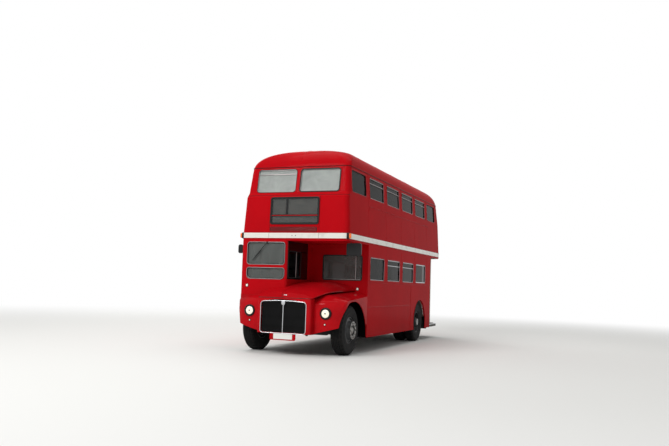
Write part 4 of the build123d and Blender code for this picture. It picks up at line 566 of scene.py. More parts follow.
def beadAlong(points, radius, rounds=8, closed=False):
    # a round bead along a line of points
    deselectAll()
    bpy.ops.curve.primitive_nurbs_path_add()
    path = bpy.context.object
    path.data.splines.clear()
    line = path.data.splines.new("POLY")
    line.points.add(len(points) - 1)
    for spot, point in zip(line.points, points):
        spot.co = (*point, 1.0)
    line.use_cyclic_u = closed
    path.data.dimensions = "3D"
    path.data.bevel_depth = radius
    path.data.bevel_resolution = rounds // 4 - 1
    path.data.use_fill_caps = not closed
    makeActive(path)
    bpy.ops.object.convert(target="MESH")
    bead = bpy.context.object
    bpy.ops.object.mode_set(mode="EDIT")
    closeMesh(0.00005)
    return bead


def turnedForm(profile, segments):
    # turned about local X and closed: profile rows are distance along X, radius
    deselectAll()
    bpy.ops.mesh.primitive_circle_add(vertices=segments, radius=profile[0][1], fill_type="NOTHING",
                                      rotation=(0, math.pi / 2, 0))
    form = bpy.context.object
    form.location = (profile[0][0], 0, 0)
    bpy.ops.object.transform_apply(location=True, rotation=True, scale=True)
    bpy.ops.object.mode_set(mode="EDIT")
    bpy.ops.mesh.select_mode(type="EDGE")
    bpy.ops.mesh.select_all(action="SELECT")
    place, radius = profile[0]
    for nextPlace, nextRadius in list(profile[1:]) + [profile[0]]:
        bpy.ops.mesh.extrude_edges_move(TRANSFORM_OT_translate={"value": (nextPlace - place, 0, 0)})
        grow = nextRadius / radius
        bpy.ops.transform.resize(value=(1, grow, grow), center_override=(nextPlace, 0, 0))
        place, radius = nextPlace, nextRadius
    closeMesh(0.0002)
    return form


def roundBoss(centre, facing, rows, segments=20):
    # a small turned piece: rows are height out of the surface, radius, from the foot to the top
    form = turnedForm([(0.0, 0.0002)] + list(rows) + [(rows[-1][0], 0.0002)], segments)
    x = Vector(facing).normalized()
    side = Vector((0, 0, 1)) if abs(x.z) < 0.9 else Vector((1, 0, 0))
    y = side.cross(x).normalized()
    return putInFrame(form, placed(x, y, x.cross(y), centre))


def openSheet(name, rows, lastPoint=None):
    # a sheet of faces between rows of points; lastPoint closes the last row with one more face
    mesh = bmesh.new()
    lines = [[mesh.verts.new(point) for point in row] for row in rows]
    for near, far in zip(lines, lines[1:]):
        for i in range(len(near) - 1):
            mesh.faces.new((near[i], near[i + 1], far[i + 1], far[i]))
    if lastPoint:
        mesh.faces.new([mesh.verts.new(lastPoint)] + lines[-1])
    data = bpy.data.meshes.new(name)
    mesh.to_mesh(data)
    mesh.free()
    sheet = bpy.data.objects.new(name, data)
    bpy.context.scene.collection.objects.link(sheet)
    return sheet


# the body's outline, as the panels have it
body = {
    "halfWidth": 1.219, "frontY": -3.856, "rearY": 4.169,
    # height, front setback, rear setback, side setback, front and rear corner radius
    "rings": (
        (2.33, 0.0, 0.0, 0.0, 0.105, 0.32), (2.49, 0.0, 0.0, 0.0, 0.105, 0.32),
        (3.25, 0.023, 0.0, 0.041, 0.105, 0.32), (3.357, 0.102, 0.008, 0.047, 0.105, 0.32),
        (3.9, 0.19, 0.148, 0.082, 0.105, 0.32), (4.011, 0.226, 0.2, 0.101, 0.15, 0.34),
    ),
    "bayStart": -1.935, "bayPitch": 1.258, "bayLength": 1.045, "endLength": 0.93,
    "lowerZ": (1.556, 2.080), "upperZ": (3.362, 3.850), "cornerRadius": 0.07,
}


def ringAt(z):
    rings = body["rings"]
    if z <= rings[0][0]:
        return rings[0][1:]
    for low, high in zip(rings, rings[1:]):
        if z <= high[0]:
            share = (z - low[0]) / (high[0] - low[0])
            return tuple(a + (b - a) * share for a, b in zip(low[1:], high[1:]))
    return rings[-1][1:]


def planLoop(z, out, steps=8):
    # the outline of the body at one height, stood out by that much
    front, rear, side, frontRadius, rearRadius = ringAt(z)
    half = body["halfWidth"] - side
    low, high = body["frontY"] + front, body["rearY"] - rear
    points = []
    for cx, cy, radius, start in (
            (half - frontRadius, low + frontRadius, frontRadius, -90),
            (half - rearRadius, high - rearRadius, rearRadius, 0),
            (-half + rearRadius, high - rearRadius, rearRadius, 90),
            (-half + frontRadius, low + frontRadius, frontRadius, 180)):
        for i in range(steps + 1):
            angle = math.radians(start + 90 * i / steps)
            points.append((cx + (radius + out) * math.cos(angle), cy + (radius + out) * math.sin(angle), z))
    return points


def sidePoint(side, y, z):
    return (side * (body["halfWidth"] - ringAt(z)[2]), y, z)


def sideWall(side, y, z):
    low, high = ringAt(z - 0.01)[2], ringAt(z + 0.01)[2]
    return wallFrame(sidePoint(side, y, z), (0, side, 0), (-side * (high - low), 0, 0.02))


def frontWall(x, z):
    low, high = ringAt(z - 0.01)[0], ringAt(z + 0.01)[0]
    return wallFrame((x, body["frontY"] + ringAt(z)[0], z), (1, 0, 0), (0, high - low, 0.02))


# side windows: a red pan round each pane, black rubber inside it, and alloy bars where it opens
pan = {"border": 0.018, "proud": 0.006, "lap": 0.005, "edge": 0.002, "depth": 0.014,
       "rubber": 0.010, "rubberDepth": 0.012, "alloyBorder": 0.007, "heavyBorder": 0.018, "alloyDepth": 0.006,
       "alloyBack": 0.007, "alloyEdge": 0.0015, "alloyCorner": 0.004,
       "barWidth": 0.013, "barShare": 0.27, "barDepth": 0.012, "barBack": 0.004, "barEdge": 0.003,
       "railWidth": 0.008, "railDrop": 0.016}
bayCentres = [body["bayStart"] + i * body["bayPitch"] for i in range(4)]
pillarWidth = body["bayPitch"] - body["bayLength"]
endStep = (body["bayLength"] + body["endLength"]) / 2 + pillarWidth
# centre, length, whether it opens, whether its alloy frame is a heavy one
upperPanes = [(bayCentres[0] - endStep, body["endLength"], False, False)]
upperPanes += [(y, body["bayLength"], True, False) for y in bayCentres]
upperPanes += [(bayCentres[-1] + endStep, body["endLength"], False, False)]
lowerPanes = [(y, body["bayLength"], i in (1, 2), i == 3) for i, y in enumerate(bayCentres)]
decks = (("upper", upperPanes, body["upperZ"], screenAlloy),
         ("lower", lowerPanes, body["lowerZ"], windowAlloy))
for side, label in ((1, "left"), (-1, "right")):
    for deck, panes, zRange, alloyFinish in decks:
        pans, rubbers, alloys = [], [], []
        for y, length, opens, heavy in panes:
            place = sideWall(side, y, middle(zRange))
            outer = (length + 2 * pan["lap"], span(zRange) + 2 * pan["lap"])
            ring = roundedFrame(*outer, [body["cornerRadius"] + pan["lap"]] * 4, pan["border"],
                                pan["proud"] + pan["depth"], pan["edge"])
            pans.append(putInFrame(ring, outBy(place, -pan["depth"])))
            inner = (outer[0] - 2 * pan["border"], outer[1] - 2 * pan["border"])
            radius = body["cornerRadius"] + pan["lap"] - pan["border"]
            rubber = roundedFrame(*inner, [radius] * 4, pan["rubber"], pan["rubberDepth"], pan["edge"])
            rubbers.append(putInFrame(rubber, outBy(place, -pan["depth"])))
            if deck == "lower" or opens:
                border = pan["heavyBorder"] if heavy else pan["alloyBorder"]
                alloy = roundedFrame(inner[0] - pan["rubber"], inner[1] - pan["rubber"],
                                     [radius - pan["alloyCorner"]] * 4, border, pan["alloyDepth"],
                                     pan["alloyEdge"])
                alloys.append(putInFrame(alloy, outBy(place, -pan["alloyBack"])))
            if opens:
                half = inner[0] / 2 - pan["rubber"]
                for up, width in ((inner[1] * (0.5 - pan["barShare"]), pan["barWidth"]),
                                  (inner[1] / 2 - pan["railDrop"], pan["railWidth"])):
                    bar = edgedBar((-half, up, -pan["barBack"]), (half, up, -pan["barBack"]), width,
                                   pan["barDepth"], pan["barEdge"])
                    alloys.append(putInFrame(bar, place))
        dressPiece(joinPieces(pans), f"{deck}Pans.{label}", wingPaint)
        dressPiece(joinPieces(rubbers), f"{deck}PaneRubber.{label}", rubberAndShadeBlack)
        dressPiece(joinPieces(alloys), f"{deck}PaneAlloy.{label}", alloyFinish)
print("side windows framed")

# upper front windows: thick rubber round both, an alloy vent light in the driver's side one
frontPanes = {"x": (0.049, 0.948), "z": (3.364, 3.858), "radius": 0.06, "lap": 0.011, "depth": 0.012,
              "rubber": {1: 0.026, -1: 0.014}, "proud": {1: 0.011, -1: 0.006}, "rubberEdge": 0.004,
              "alloy": 0.005, "alloyDepth": 0.012, "alloyBack": 0.011, "alloyEdge": 0.001,
              "ventZ": 3.752, "ventBar": 0.011, "railWidth": 0.006, "railDrop": 0.012,
              "barDepth": 0.010, "barBack": 0.002, "barEdge": 0.002}
slopeUp = frontWall(0.0, middle(frontPanes["z"])).col[1].z
paneWidth, paneHeight = span(frontPanes["x"]), span(frontPanes["z"]) / slopeUp
rubbers, parts = [], []
for side in (1, -1):
    place = frontWall(side * middle(frontPanes["x"]), middle(frontPanes["z"]))
    lap = frontPanes["lap"]
    rubber = roundedFrame(paneWidth + 2 * lap, paneHeight + 2 * lap, [frontPanes["radius"] + lap] * 4,
                          frontPanes["rubber"][side], frontPanes["proud"][side] + frontPanes["depth"],
                          frontPanes["rubberEdge"])
    rubbers.append(putInFrame(rubber, outBy(place, -frontPanes["depth"])))
    inset = frontPanes["rubber"][side] - lap
    alloy = roundedFrame(paneWidth - 2 * inset, paneHeight - 2 * inset,
                         [frontPanes["radius"] - inset + 0.004] * 4, frontPanes["alloy"],
                         frontPanes["alloyDepth"], frontPanes["alloyEdge"])
    parts.append(putInFrame(alloy, outBy(place, -frontPanes["alloyBack"])))
ventUp = (frontPanes["ventZ"] - middle(frontPanes["z"])) / slopeUp
half = paneWidth / 2 - inset
for up, width in ((ventUp, frontPanes["ventBar"]),
                  (paneHeight / 2 - inset - frontPanes["railDrop"], frontPanes["railWidth"])):
    bar = edgedBar((-half, up, -frontPanes["barBack"]), (half, up, -frontPanes["barBack"]), width,
                   frontPanes["barDepth"], frontPanes["barEdge"])
    parts.append(putInFrame(bar, place))
dressPiece(joinPieces(parts), "ventLightFrame", screenAlloy)
dressPiece(joinPieces(rubbers), "frontPaneRubber", rubberAndShadeBlack)

# destination box: rubber round it, three glazed and bare blinds
blinds = {"x": (-0.546, 0.546), "z": (2.678, 3.236), "radius": 0.04, "lap": 0.012,
          "rubber": 0.020, "rubberDepth": 0.022, "rubberBack": 0.004, "rubberEdge": 0.006,
          # x from and to, z from and to
          "windows": (((-0.522, -0.196), (2.872, 3.212)), ((-0.168, 0.522), (2.872, 3.212)),
                      ((-0.522, 0.522), (2.702, 2.843))),
          # how much larger than the window, corner radius, thickness, how far out
          "cloth": (0.01, 0.02, 0.003, -0.026), "pane": (0.004, 0.024, 0.004, -0.002),
          "bead": (0.006, 0.025, 0.008, 0.002), "beadBorder": 0.008, "beadEdge": 0.002,
          "stripX": (-0.524, 0.524), "stripZ": 2.8575, "stripSize": (0.019, 0.010, 0.003)}
surround = roundedFrame(span(blinds["x"]) + 2 * blinds["lap"], span(blinds["z"]) + 2 * blinds["lap"],
                        [blinds["radius"] + blinds["lap"]] * 4, blinds["rubber"], blinds["rubberDepth"],
                        blinds["rubberEdge"])
putInFrame(surround, outBy(frontWall(0.0, middle(blinds["z"])), -blinds["rubberBack"]))
dressPiece(surround, "blindSurround", rubberAndShadeBlack)
cloths, panes, beads = [], [], []
for xRange, zRange in blinds["windows"]:
    place = frontWall(middle(xRange), middle(zRange))
    more, radius, thick, out = blinds["cloth"]
    cloth = roundedPlate(span(xRange) + more, span(zRange) + more, [radius] * 4, thick, 3)
    cloths.append(putInFrame(cloth, outBy(place, out)))
    more, radius, thick, out = blinds["pane"]
    pane = roundedPlate(span(xRange) + more, span(zRange) + more, [radius] * 4, thick)
    panes.append(putInFrame(pane, outBy(place, out)))
    more, radius, thick, out = blinds["bead"]
    bead = roundedFrame(span(xRange) + more, span(zRange) + more, [radius] * 4, blinds["beadBorder"], thick,
                        blinds["beadEdge"])
    beads.append(putInFrame(bead, outBy(place, out)))
dressPiece(joinPieces(cloths), "blindCloths", blindCloth)
dressPiece(joinPieces(panes), "blindPanes", blindGlass)
dressPiece(joinPieces(beads), "blindBeads", rubberAndShadeBlack)
strip = edgedBar(*((x, 0, 0.004) for x in blinds["stripX"]), *blinds["stripSize"])
dressPiece(putInFrame(strip, frontWall(0.0, blinds["stripZ"])), "blindStrip", wingPaint)

# louvre under the box: a black plate as painted shade in its recess, a rubber lip and tilted blades
louvre = {"x": (-0.547, 0.519), "z": (2.525, 2.612), "inset": 0.01, "lip": 0.007, "lipDepth": 0.008,
          "blades": 3, "bladeInset": 0.012, "bladeSize": (0.011, 0.006), "tilt": (0, 0.35, 1)}
width, height = span(louvre["x"]), span(louvre["z"])
place = frontWall(middle(louvre["x"]), middle(louvre["z"]))
recessShade = roundedPlate(width - louvre["inset"], height - louvre["inset"], [0.016] * 4, 0.003)
lip = roundedFrame(width + louvre["inset"], height + louvre["inset"], [0.022] * 4, louvre["lip"],
                   louvre["lipDepth"], 0.002)
dark = [putInFrame(recessShade, outBy(place, 0.0005)), putInFrame(lip, outBy(place, -0.002))]
dressPiece(joinPieces(dark), "louvreShadeAndLip", rubberAndShadeBlack)
blades = []
half = width / 2 - louvre["bladeInset"]
for i in range(louvre["blades"]):
    up = (i + 0.5 - louvre["blades"] / 2) * (height - louvre["bladeInset"]) / louvre["blades"]
    blade = edgedBar((-half, up, 0.005), (half, up, 0.005), *louvre["bladeSize"], 0.002, louvre["tilt"])
    blades.append(putInFrame(blade, place))
dressPiece(joinPieces(blades), "louvreBlades", wingPaint)
print("front of the upper deck glazed")

# mouldings, drip rails and panel joints of the body, with a painted shadow line under the gutter
trim = {
    # height, how far out, radius of the beads that run right round
    "gutter": (3.906, 0.003, 0.0065), "gutterLip": (3.919, 0.004, 0.0075),
    "drips": ((2.368, 0.003, 0.006), (2.498, 0.002, 0.0048)),
    "creaseZ": 3.288, "creaseEndY": -3.6, "creaseRadius": 0.0045,
    "beltZ": 3.184, "beltDrop": 0.09, "beltY": (-2.48, 2.72), "beltRadius": 0.007,
    "seamX": 0.569, "seamFootZ": 2.5, "seamZ": (3.25, 3.287), "seamRadius": 0.0032,
    "skirtY": -2.53, "skirtEnd": {1: 2.90, -1: 3.84}, "waistZ": 1.512, "waistRadius": 0.0045,
    "lowerZ": 0.98, "lowerRadius": 0.0065, "dividerY": 0.90, "dividerFootZ": 0.34,
    "archX": 1.218, "archRadius": 0.6, "archCentre": (1.7955, 0.515), "archFootZ": 0.335, "archBead": 0.009,
    "panelZ": (2.5, 3.25, 3.357, 3.9), "panelRadius": 0.0024,
    "lowerPanelZ": (1.53, 2.32), "lowerPanelEnd": 2.9,
    "bandZ": (2.381, 2.489), "bandOut": 0.0092, "jointSize": (0.004, 0.0015, 0.0004),
    "studsX": (-0.03, 0.05), "studZ": 2.435, "studOut": 0.008,
    "stud": ((0.0, 0.009), (0.004, 0.009), (0.007, 0.006)),
}


def roundBead(z, out, radius):
    return beadAlong(planLoop(z, out), radius, closed=True)


# painted shade: the dark bead just under the red gutter lip is the shadow of the drip rail
seamAndShadowBeads = [roundBead(*trim["gutter"])]
redBeads = [roundBead(*trim["gutterLip"])] + [roundBead(*drip) for drip in trim["drips"]]
crease = [point for point in planLoop(trim["creaseZ"], 0.0) if point[1] < trim["creaseEndY"]]
seamAndShadowBeads.append(beadAlong(sorted(crease), trim["creaseRadius"]))
panelEdges = [bayCentres[0] - endStep + (body["endLength"] + pillarWidth) / 2]
panelEdges += [y + body["bayPitch"] / 2 for y in bayCentres]
for side in (1, -1):
    low, high = trim["beltY"]
    redBeads.append(beadAlong([sidePoint(side, low, trim["beltZ"] - trim["beltDrop"]),
                               sidePoint(side, low, trim["beltZ"]), sidePoint(side, high, trim["beltZ"])],
                              trim["beltRadius"]))
    seam = [(side * trim["seamX"], body["frontY"], trim["seamFootZ"])]
    seam += [(side * trim["seamX"], body["frontY"] + ringAt(z)[0], z) for z in trim["seamZ"]]
    seamAndShadowBeads.append(beadAlong(seam, trim["seamRadius"], 4))
    skirtX = side * body["halfWidth"]
    front, divider = trim["skirtY"], trim["dividerY"]
    waist, lower = trim["waistZ"], trim["lowerZ"]
    for start, end, radius in (((front, waist), (trim["skirtEnd"][side], waist), trim["waistRadius"]),
                               ((front, lower), (divider, lower), trim["lowerRadius"]),
                               ((divider, waist), (divider, trim["dividerFootZ"]), trim["lowerRadius"])):
        redBeads.append(beadAlong([(skirtX, *start), (skirtX, *end)], radius))
    cy, cz = trim["archCentre"]
    startAngle = math.asin((trim["archFootZ"] - cz) / trim["archRadius"])
    arch = []
    for i in range(33):
        angle = startAngle + (math.pi - 2 * startAngle) * i / 32
        arch.append((side * trim["archX"], cy + trim["archRadius"] * math.cos(angle),
                     cz + trim["archRadius"] * math.sin(angle)))
    redBeads.append(beadAlong(arch, trim["archBead"]))
    for y in panelEdges:
        redBeads.append(beadAlong([sidePoint(side, y, z) for z in trim["panelZ"]], trim["panelRadius"], 4))
        if y < trim["lowerPanelEnd"]:
            redBeads.append(beadAlong([(skirtX, y, z) for z in trim["lowerPanelZ"]], trim["panelRadius"], 4))
dressPiece(joinPieces(redBeads), "bodyMouldings", wingPaint, smoothAngle=60.0)
dressPiece(joinPieces(seamAndShadowBeads), "panelSeamsAndGutterShadow", jointAndShadowLine, smoothAngle=60.0)
joints = []
for side in (1, -1):
    wallX = side * (body["halfWidth"] + trim["bandOut"])
    spots = [(side * trim["seamX"], body["frontY"] - trim["bandOut"], (0, -1, 0))]
    spots += [(wallX, y, (side, 0, 0)) for y in panelEdges[1:]]
    for x, y, out in spots:
        joints.append(edgedBar(*((x, y, z) for z in trim["bandZ"]), *trim["jointSize"], out))
for x in trim["studsX"]:
    spot = (x, body["frontY"] - trim["studOut"], trim["studZ"])
    joints.append(roundBoss(spot, (0, -1, 0), trim["stud"], 12))
dressPiece(joinPieces(joints), "bandJoints", jointAndShadowLine)

# roof seams: one along the middle of the front dome, the others across the roof
roofTrim = {"topZ": 4.3745, "step": 0.06, "domeY": -2.93,
            # first point, points, radius of the bead
            "along": (-3.62, 18, 0.007), "across": (-1.11, 38, 0.004)}


def roofLine(points, radius):
    # a bead laid on the roof, and at the crown low enough to stay within the height of the bus
    line = []
    for x, y in points:
        hit, spot = cadNodes["roof"].ray_cast(Vector((x, y, 6.0)), Vector((0, 0, -1)))[:2]
        if hit:
            line.append((x, y, min(spot.z, roofTrim["topZ"])))
    return beadAlong(line, radius)


first, count, radius = roofTrim["along"]
roofSeams = [roofLine([(0.0, first + roofTrim["step"] * i) for i in range(count)], radius)]
first, count, radius = roofTrim["across"]
for y in [roofTrim["domeY"]] + panelEdges[1:] + [bayCentres[0] - body["bayPitch"] / 2]:
    roofSeams.append(roofLine([(first + roofTrim["step"] * i, y) for i in range(count)], radius))
dressPiece(joinPieces(roofSeams), "roofSeams", wingPaint, smoothAngle=60.0)
print("mouldings laid")

# cab: alloy frames of the windscreen, gaskets and the bars of the windows beside and behind the bonnet
cab = {"frontY": -3.86, "screenX": (-1.065, -0.18), "wallX": -0.13,
       # z from and to, corner radii of the two panes
       "screens": (((1.82, 2.295), (0.06, 0.06, 0.06, 0.06)), ((1.52, 1.757), (0.10, 0.10, 0.05, 0.05))),
       # how much larger than the pane, more corner radius, border, depth, how far back, broken edge
       "rubber": (0.016, 0.008, 0.026, 0.016, 0.012, 0.003),
       "frame": (0.004, 0.002, 0.009, 0.016, 0.006, 0.004),
       "gasket": (0.022, 0.016, 0.004), "gasketBack": 0.01}
# centre, direction across, width, height, corner radius
gaskets = (
    ((-1.219, -3.675, 1.84), (0, -1, 0), 0.206, 0.576, 0.058),
    ((-1.219, -2.78, 1.84), (0, -1, 0), 0.276, 0.576, 0.058),
    ((-0.13, -3.465, 1.84), (0, 1, 0), 0.646, 0.576, 0.058),
    ((0.616, -2.575, 1.825), (1, 0, 0), 0.944, 0.566, 0.058),
    ((-0.605, -2.575, 1.825), (1, 0, 0), 0.566, 0.566, 0.058),
    ((0.06, 4.169, 1.818), (-1, 0, 0), 0.796, 0.54, 0.078),
)
# start, end, width, height, edge, faces
windowBars = (
    ((0.93, -2.570, 1.56), (0.93, -2.570, 2.09), 0.014, 0.012, 0.003, (0, -1, 0)),
    ((-0.126, -3.40, 1.57), (-0.126, -3.40, 2.11), 0.018, 0.014, 0.004, (1, 0, 0)),
    ((0.18, -2.570, 1.565), (1.05, -2.570, 1.565), 0.012, 0.010, 0.003, (0, -1, 0)),
)
frames, rubbers = [], []
for zRange, radii in cab["screens"]:
    place = wallFrame((middle(cab["screenX"]), cab["frontY"], middle(zRange)), (1, 0, 0))
    for group, sizes in ((rubbers, cab["rubber"]), (frames, cab["frame"])):
        more, moreRadius, border, depth, back, edge = sizes
        ring = roundedFrame(span(cab["screenX"]) + more, span(zRange) + more, [r + moreRadius for r in radii],
                            border, depth, edge)
        group.append(putInFrame(ring, outBy(place, -back)))
for spot, across, width, height, radius in gaskets:
    ring = roundedFrame(width, height, [radius] * 4, *cab["gasket"])
    rubbers.append(putInFrame(ring, outBy(wallFrame(spot, across), -cab["gasketBack"])))
frames += [edgedBar(*bar) for bar in windowBars]
dressPiece(joinPieces(frames), "cabScreenFrames", screenAlloy)
# painted shade: the panel beside the bonnet is covered in black glass round its window, where it lies in deep
# shadow; y from and to, z from and to
shadowParts = (((-3.82, -2.80), (2.115, 2.325)), ((-3.155, -2.80), (1.53, 2.13)),
                ((-3.82, -3.15), (1.525, 1.565)), ((-3.82, -3.775), (1.53, 2.13)))
plates = []
for yRange, zRange in shadowParts:
    plate = roundedPlate(span(yRange), span(zRange), [0.008] * 4, 0.004, 2)
    plates.append(putInFrame(plate, wallFrame((cab["wallX"], middle(yRange), middle(zRange)), (0, 1, 0))))
dressPiece(joinPieces(plates), "cabSideShadowPane", shadowBlackGlass)
dressPiece(joinPieces(rubbers), "cabGaskets", rubberAndShadeBlack)

# windscreen wiper: boss, arm and a blade that lies along the arm
wiper = {"pivot": (-0.60, 2.285), "tip": (-0.86, 1.99), "bladeLength": 0.30, "above": 0.62, "standOff": 0.018,
         "bladeShift": (0.008, 0.008, 0), "boss": ((0.0, 0.022), (0.014, 0.02), (0.024, 0.012)),
         "arm": (0.012, 0.006, 0.002), "blade": (0.016, 0.014, 0.003)}
pivot, tip = (Vector((x, cab["frontY"] - wiper["standOff"], z)) for x, z in (wiper["pivot"], wiper["tip"]))
blade = (tip - pivot).normalized() * wiper["bladeLength"]
shift = Vector(wiper["bladeShift"])
parts = [roundBoss((pivot.x, cab["frontY"], pivot.z), (0, -1, 0), wiper["boss"], 16),
         edgedBar(pivot, tip, *wiper["arm"], (0, -1, 0)),
         edgedBar(tip - blade * wiper["above"] + shift, tip + blade * (1 - wiper["above"]) + shift,
                  *wiper["blade"], (0, -1, 0))]
dressPiece(joinPieces(parts), "screenWiper", blackEnamel)

# cab door: a flush pull, because the door slides away inside the wall, and the rubber of its window
door = {"x": -1.168, "handleY": -3.05, "handleZ": 1.45, "windowY": -3.245, "windowZ": 1.845,
        # width, height, corner radii, border, depth, broken edge
        "rim": (0.052, 0.130, [0.018] * 4, 0.009, 0.0045, 0.0015),
        "window": (0.376, 0.576, [0.053] * 4, 0.016, 0.008, 0.003),
        # width, height, corner radii, thickness
        "well": (0.040, 0.118, [0.014] * 4, 0.0015)}
place = wallFrame((door["x"], door["handleY"], door["handleZ"]), (0, -1, 0))
rim = roundedFrame(*door["rim"])
well = roundedPlate(*door["well"])
parts = [putInFrame(rim, outBy(place, -0.001)), putInFrame(well, outBy(place, -0.0005))]
dressPiece(joinPieces(parts), "cabDoorHandle", chromePlate, "cab_door")
doorWindow = roundedFrame(*door["window"])
putInFrame(doorWindow, outBy(wallFrame((door["x"], door["windowY"], door["windowZ"]), (0, -1, 0)), -0.003))
dressPiece(doorWindow, "cabDoorRubber", rubberAndShadeBlack, "cab_door")
print("cab glazed")

# bonnet: lip bead, a black bead under its front lip as painted shadow, a dark joint line, lifting handle
nose = {"y": -4.192, "lipX": (0.625, -0.036), "lipZ": 1.154, "shadowZ": 1.144, "shadowMidZ": 1.146,
        "shadowX": (0.575, 0.2), "shadowRadius": 0.008, "catchX": -0.042, "catchZ": (1.150, 1.232),
        "handleX": (-0.005, 0.065), "handleZ": 1.205}
lip = beadAlong([(x, nose["y"] + 0.002, nose["lipZ"]) for x in nose["lipX"]], 0.005)
dressPiece(lip, "bonnetLipBead", wingPaint, "bonnet", 60.0)
outerX, innerX = nose["shadowX"]
# painted shadow: a black bead just under the lip, across the nose
lipShadowPoints = [(x, nose["y"] + 0.005, z) for x, z in ((-outerX, nose["shadowZ"]), (-innerX, nose["shadowMidZ"]),
                                                     (innerX, nose["shadowMidZ"]), (outerX, nose["shadowZ"]))]
catchEnds = [(nose["catchX"], nose["y"] - 0.0005, z) for z in nose["catchZ"]]
lipShadowAndJoint = [beadAlong(lipShadowPoints, nose["shadowRadius"]), edgedBar(*catchEnds, 0.006, 0.004, 0.001, (0, -1, 0))]
dressPiece(joinPieces(lipShadowAndJoint), "noseShadowAndJoint", rubberAndShadeBlack, smoothAngle=60.0)
handleEnds = [(x, nose["y"] - 0.002, nose["handleZ"]) for x in nose["handleX"]]
handle = edgedBar(*handleEnds, 0.016, 0.005, 0.002, (0, -1, 0))
dressPiece(handle, "bonnetHandle", chromePlate, "bonnet")

# grille trim: a bright bead round the shell with a centre bar and a plain shield at the top
grille = {"x": (-0.530, 0.500), "z": (0.425, 1.072), "y": -4.192,
          "arch": 0.024, "archReach": 0.25, "sunk": 0.012, "corner": 0.07,
          # border, depth, broken edge
          "bead": (0.016, 0.016, 0.006),
          "bar": (0.016, 0.012, 0.004), "barEnds": (0.01, 0.02), "shield": (0.082, 0.088),
          "shieldCorners": (0.036, 0.036, 0.014, 0.014), "shieldDepth": 0.014, "shieldDrop": 0.05}
width, height = span(grille["x"]), span(grille["z"])
ring = roundedFrame(width, height, [grille["corner"]] * 4, *grille["bead"])
applyModifier(ring, "SUBSURF", {"levels": 2, "render_levels": 2, "subdivision_type": "SIMPLE"})
bar = edgedBar((0, -height / 2 + grille["barEnds"][0], 0.006), (0, height / 2 - grille["barEnds"][1], 0.006),
               *grille["bar"])
shield = roundedPlate(*grille["shield"], grille["shieldCorners"], grille["shieldDepth"])
applyModifier(shield, "BEVEL", {"width": 0.004, "segments": 2, "limit_method": "ANGLE"})
putInFrame(shield, Matrix.Translation((0, height / 2 - grille["shieldDrop"], 0.002)))
trimPiece = joinPieces([ring, bar, shield])
for vert in trimPiece.data.vertices:
    if vert.co.y > 0:  # the top is arched
        rise = (1 - (2 * vert.co.x / width) ** 2) * min(1.0, vert.co.y / grille["archReach"])
        vert.co.y += grille["arch"] * rise
place = wallFrame((middle(grille["x"]), grille["y"], middle(grille["z"])), (1, 0, 0))
putInFrame(trimPiece, outBy(place, -grille["sunk"]))
dressPiece(trimPiece, "grilleBead", windowAlloy)
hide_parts("grille_trim")

# headlamps: black bowl rim with a fluted glass, small dark bulb cap at its centre
lamp = {"x": 0.853, "z": 0.859, "y": -4.040, "rim": 0.122, "glass": 0.086, "skirt": 0.045, "segments": 56}
rim, glass, skirt = lamp["rim"], lamp["glass"], lamp["skirt"]
# distance out of the wing, radius
bowlRows = ((-skirt, rim + 0.001), (0.004, rim), (0.014, rim - 0.002), (0.021, rim - 0.008),
            (0.024, rim - 0.015), (0.020, glass - 0.002), (0.010, glass - 0.004), (-skirt, glass - 0.004))
glassRows = ((-0.006, 0.0004), (-0.006, glass), (0.010, glass), (0.017, glass * 0.84), (0.023, glass * 0.6),
             (0.027, glass * 0.3), (0.028, 0.0004))
capRows = ((0.024, 0.0004), (0.024, 0.016), (0.031, 0.014), (0.033, 0.0004))


def lampFrame(spot, facing):
    # local X looks out of the front, -1, or the back, 1
    return placed(Vector((0, facing, 0)), Vector((-facing, 0, 0)), Vector((0, 0, 1)), spot)


bowls, glasses = [], []
for side in (1, -1):
    turn = lampFrame((side * lamp["x"], lamp["y"], lamp["z"]), -1)
    bowls.append(putInFrame(turnedForm(bowlRows, lamp["segments"]), turn))
    glasses.append(putInFrame(turnedForm(glassRows, lamp["segments"]), turn))
    bowls.append(putInFrame(turnedForm(capRows, 20), turn))
piece = dressPiece(joinPieces(bowls), "headlampBowls", blackEnamel, smoothAngle=40.0)
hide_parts("headlamps")
piece = dressPiece(joinPieces(glasses), "headlampGlasses", lampGlass, smoothAngle=50.0)
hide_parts("lamp_lenses")
# small lamps: place, facing, radius of the glass; the tail lamps keep their own glass
smallLamps = (((-1.04, -3.86, 1.375), -1, 0.027), ((0.985, -2.575, 1.365), -1, 0.026),
              ((0.845, -4.040, 0.64), -1, 0.014), ((-0.845, -4.040, 0.66), -1, 0.014),
              ((-0.82, 4.169, 0.9), 1, 0.045), ((0.52, 4.169, 0.9), 1, 0.045))
glasses, rims = [], []
for spot, facing, radius in smallLamps:
    rimRows = ((-0.004, radius + 0.010), (0.005, radius + 0.008), (0.009, radius + 0.004), (0.007, radius),
               (-0.004, radius))
    rims.append(putInFrame(turnedForm(rimRows, 32), lampFrame(spot, facing)))
    if facing == -1:
        rows = ((0.0, radius), (0.006, radius), (0.006 + radius * 0.25, radius * 0.8),
                (0.006 + radius * 0.4, radius * 0.4))
        glasses.append(roundBoss(spot, (0, facing, 0), rows, 28))
dressPiece(joinPieces(rims), "lampRims", rubberAndShadeBlack, smoothAngle=50.0)
piece = dressPiece(joinPieces(glasses), "sideLampGlasses", pearlLens, smoothAngle=50.0)
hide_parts("side_lamps")

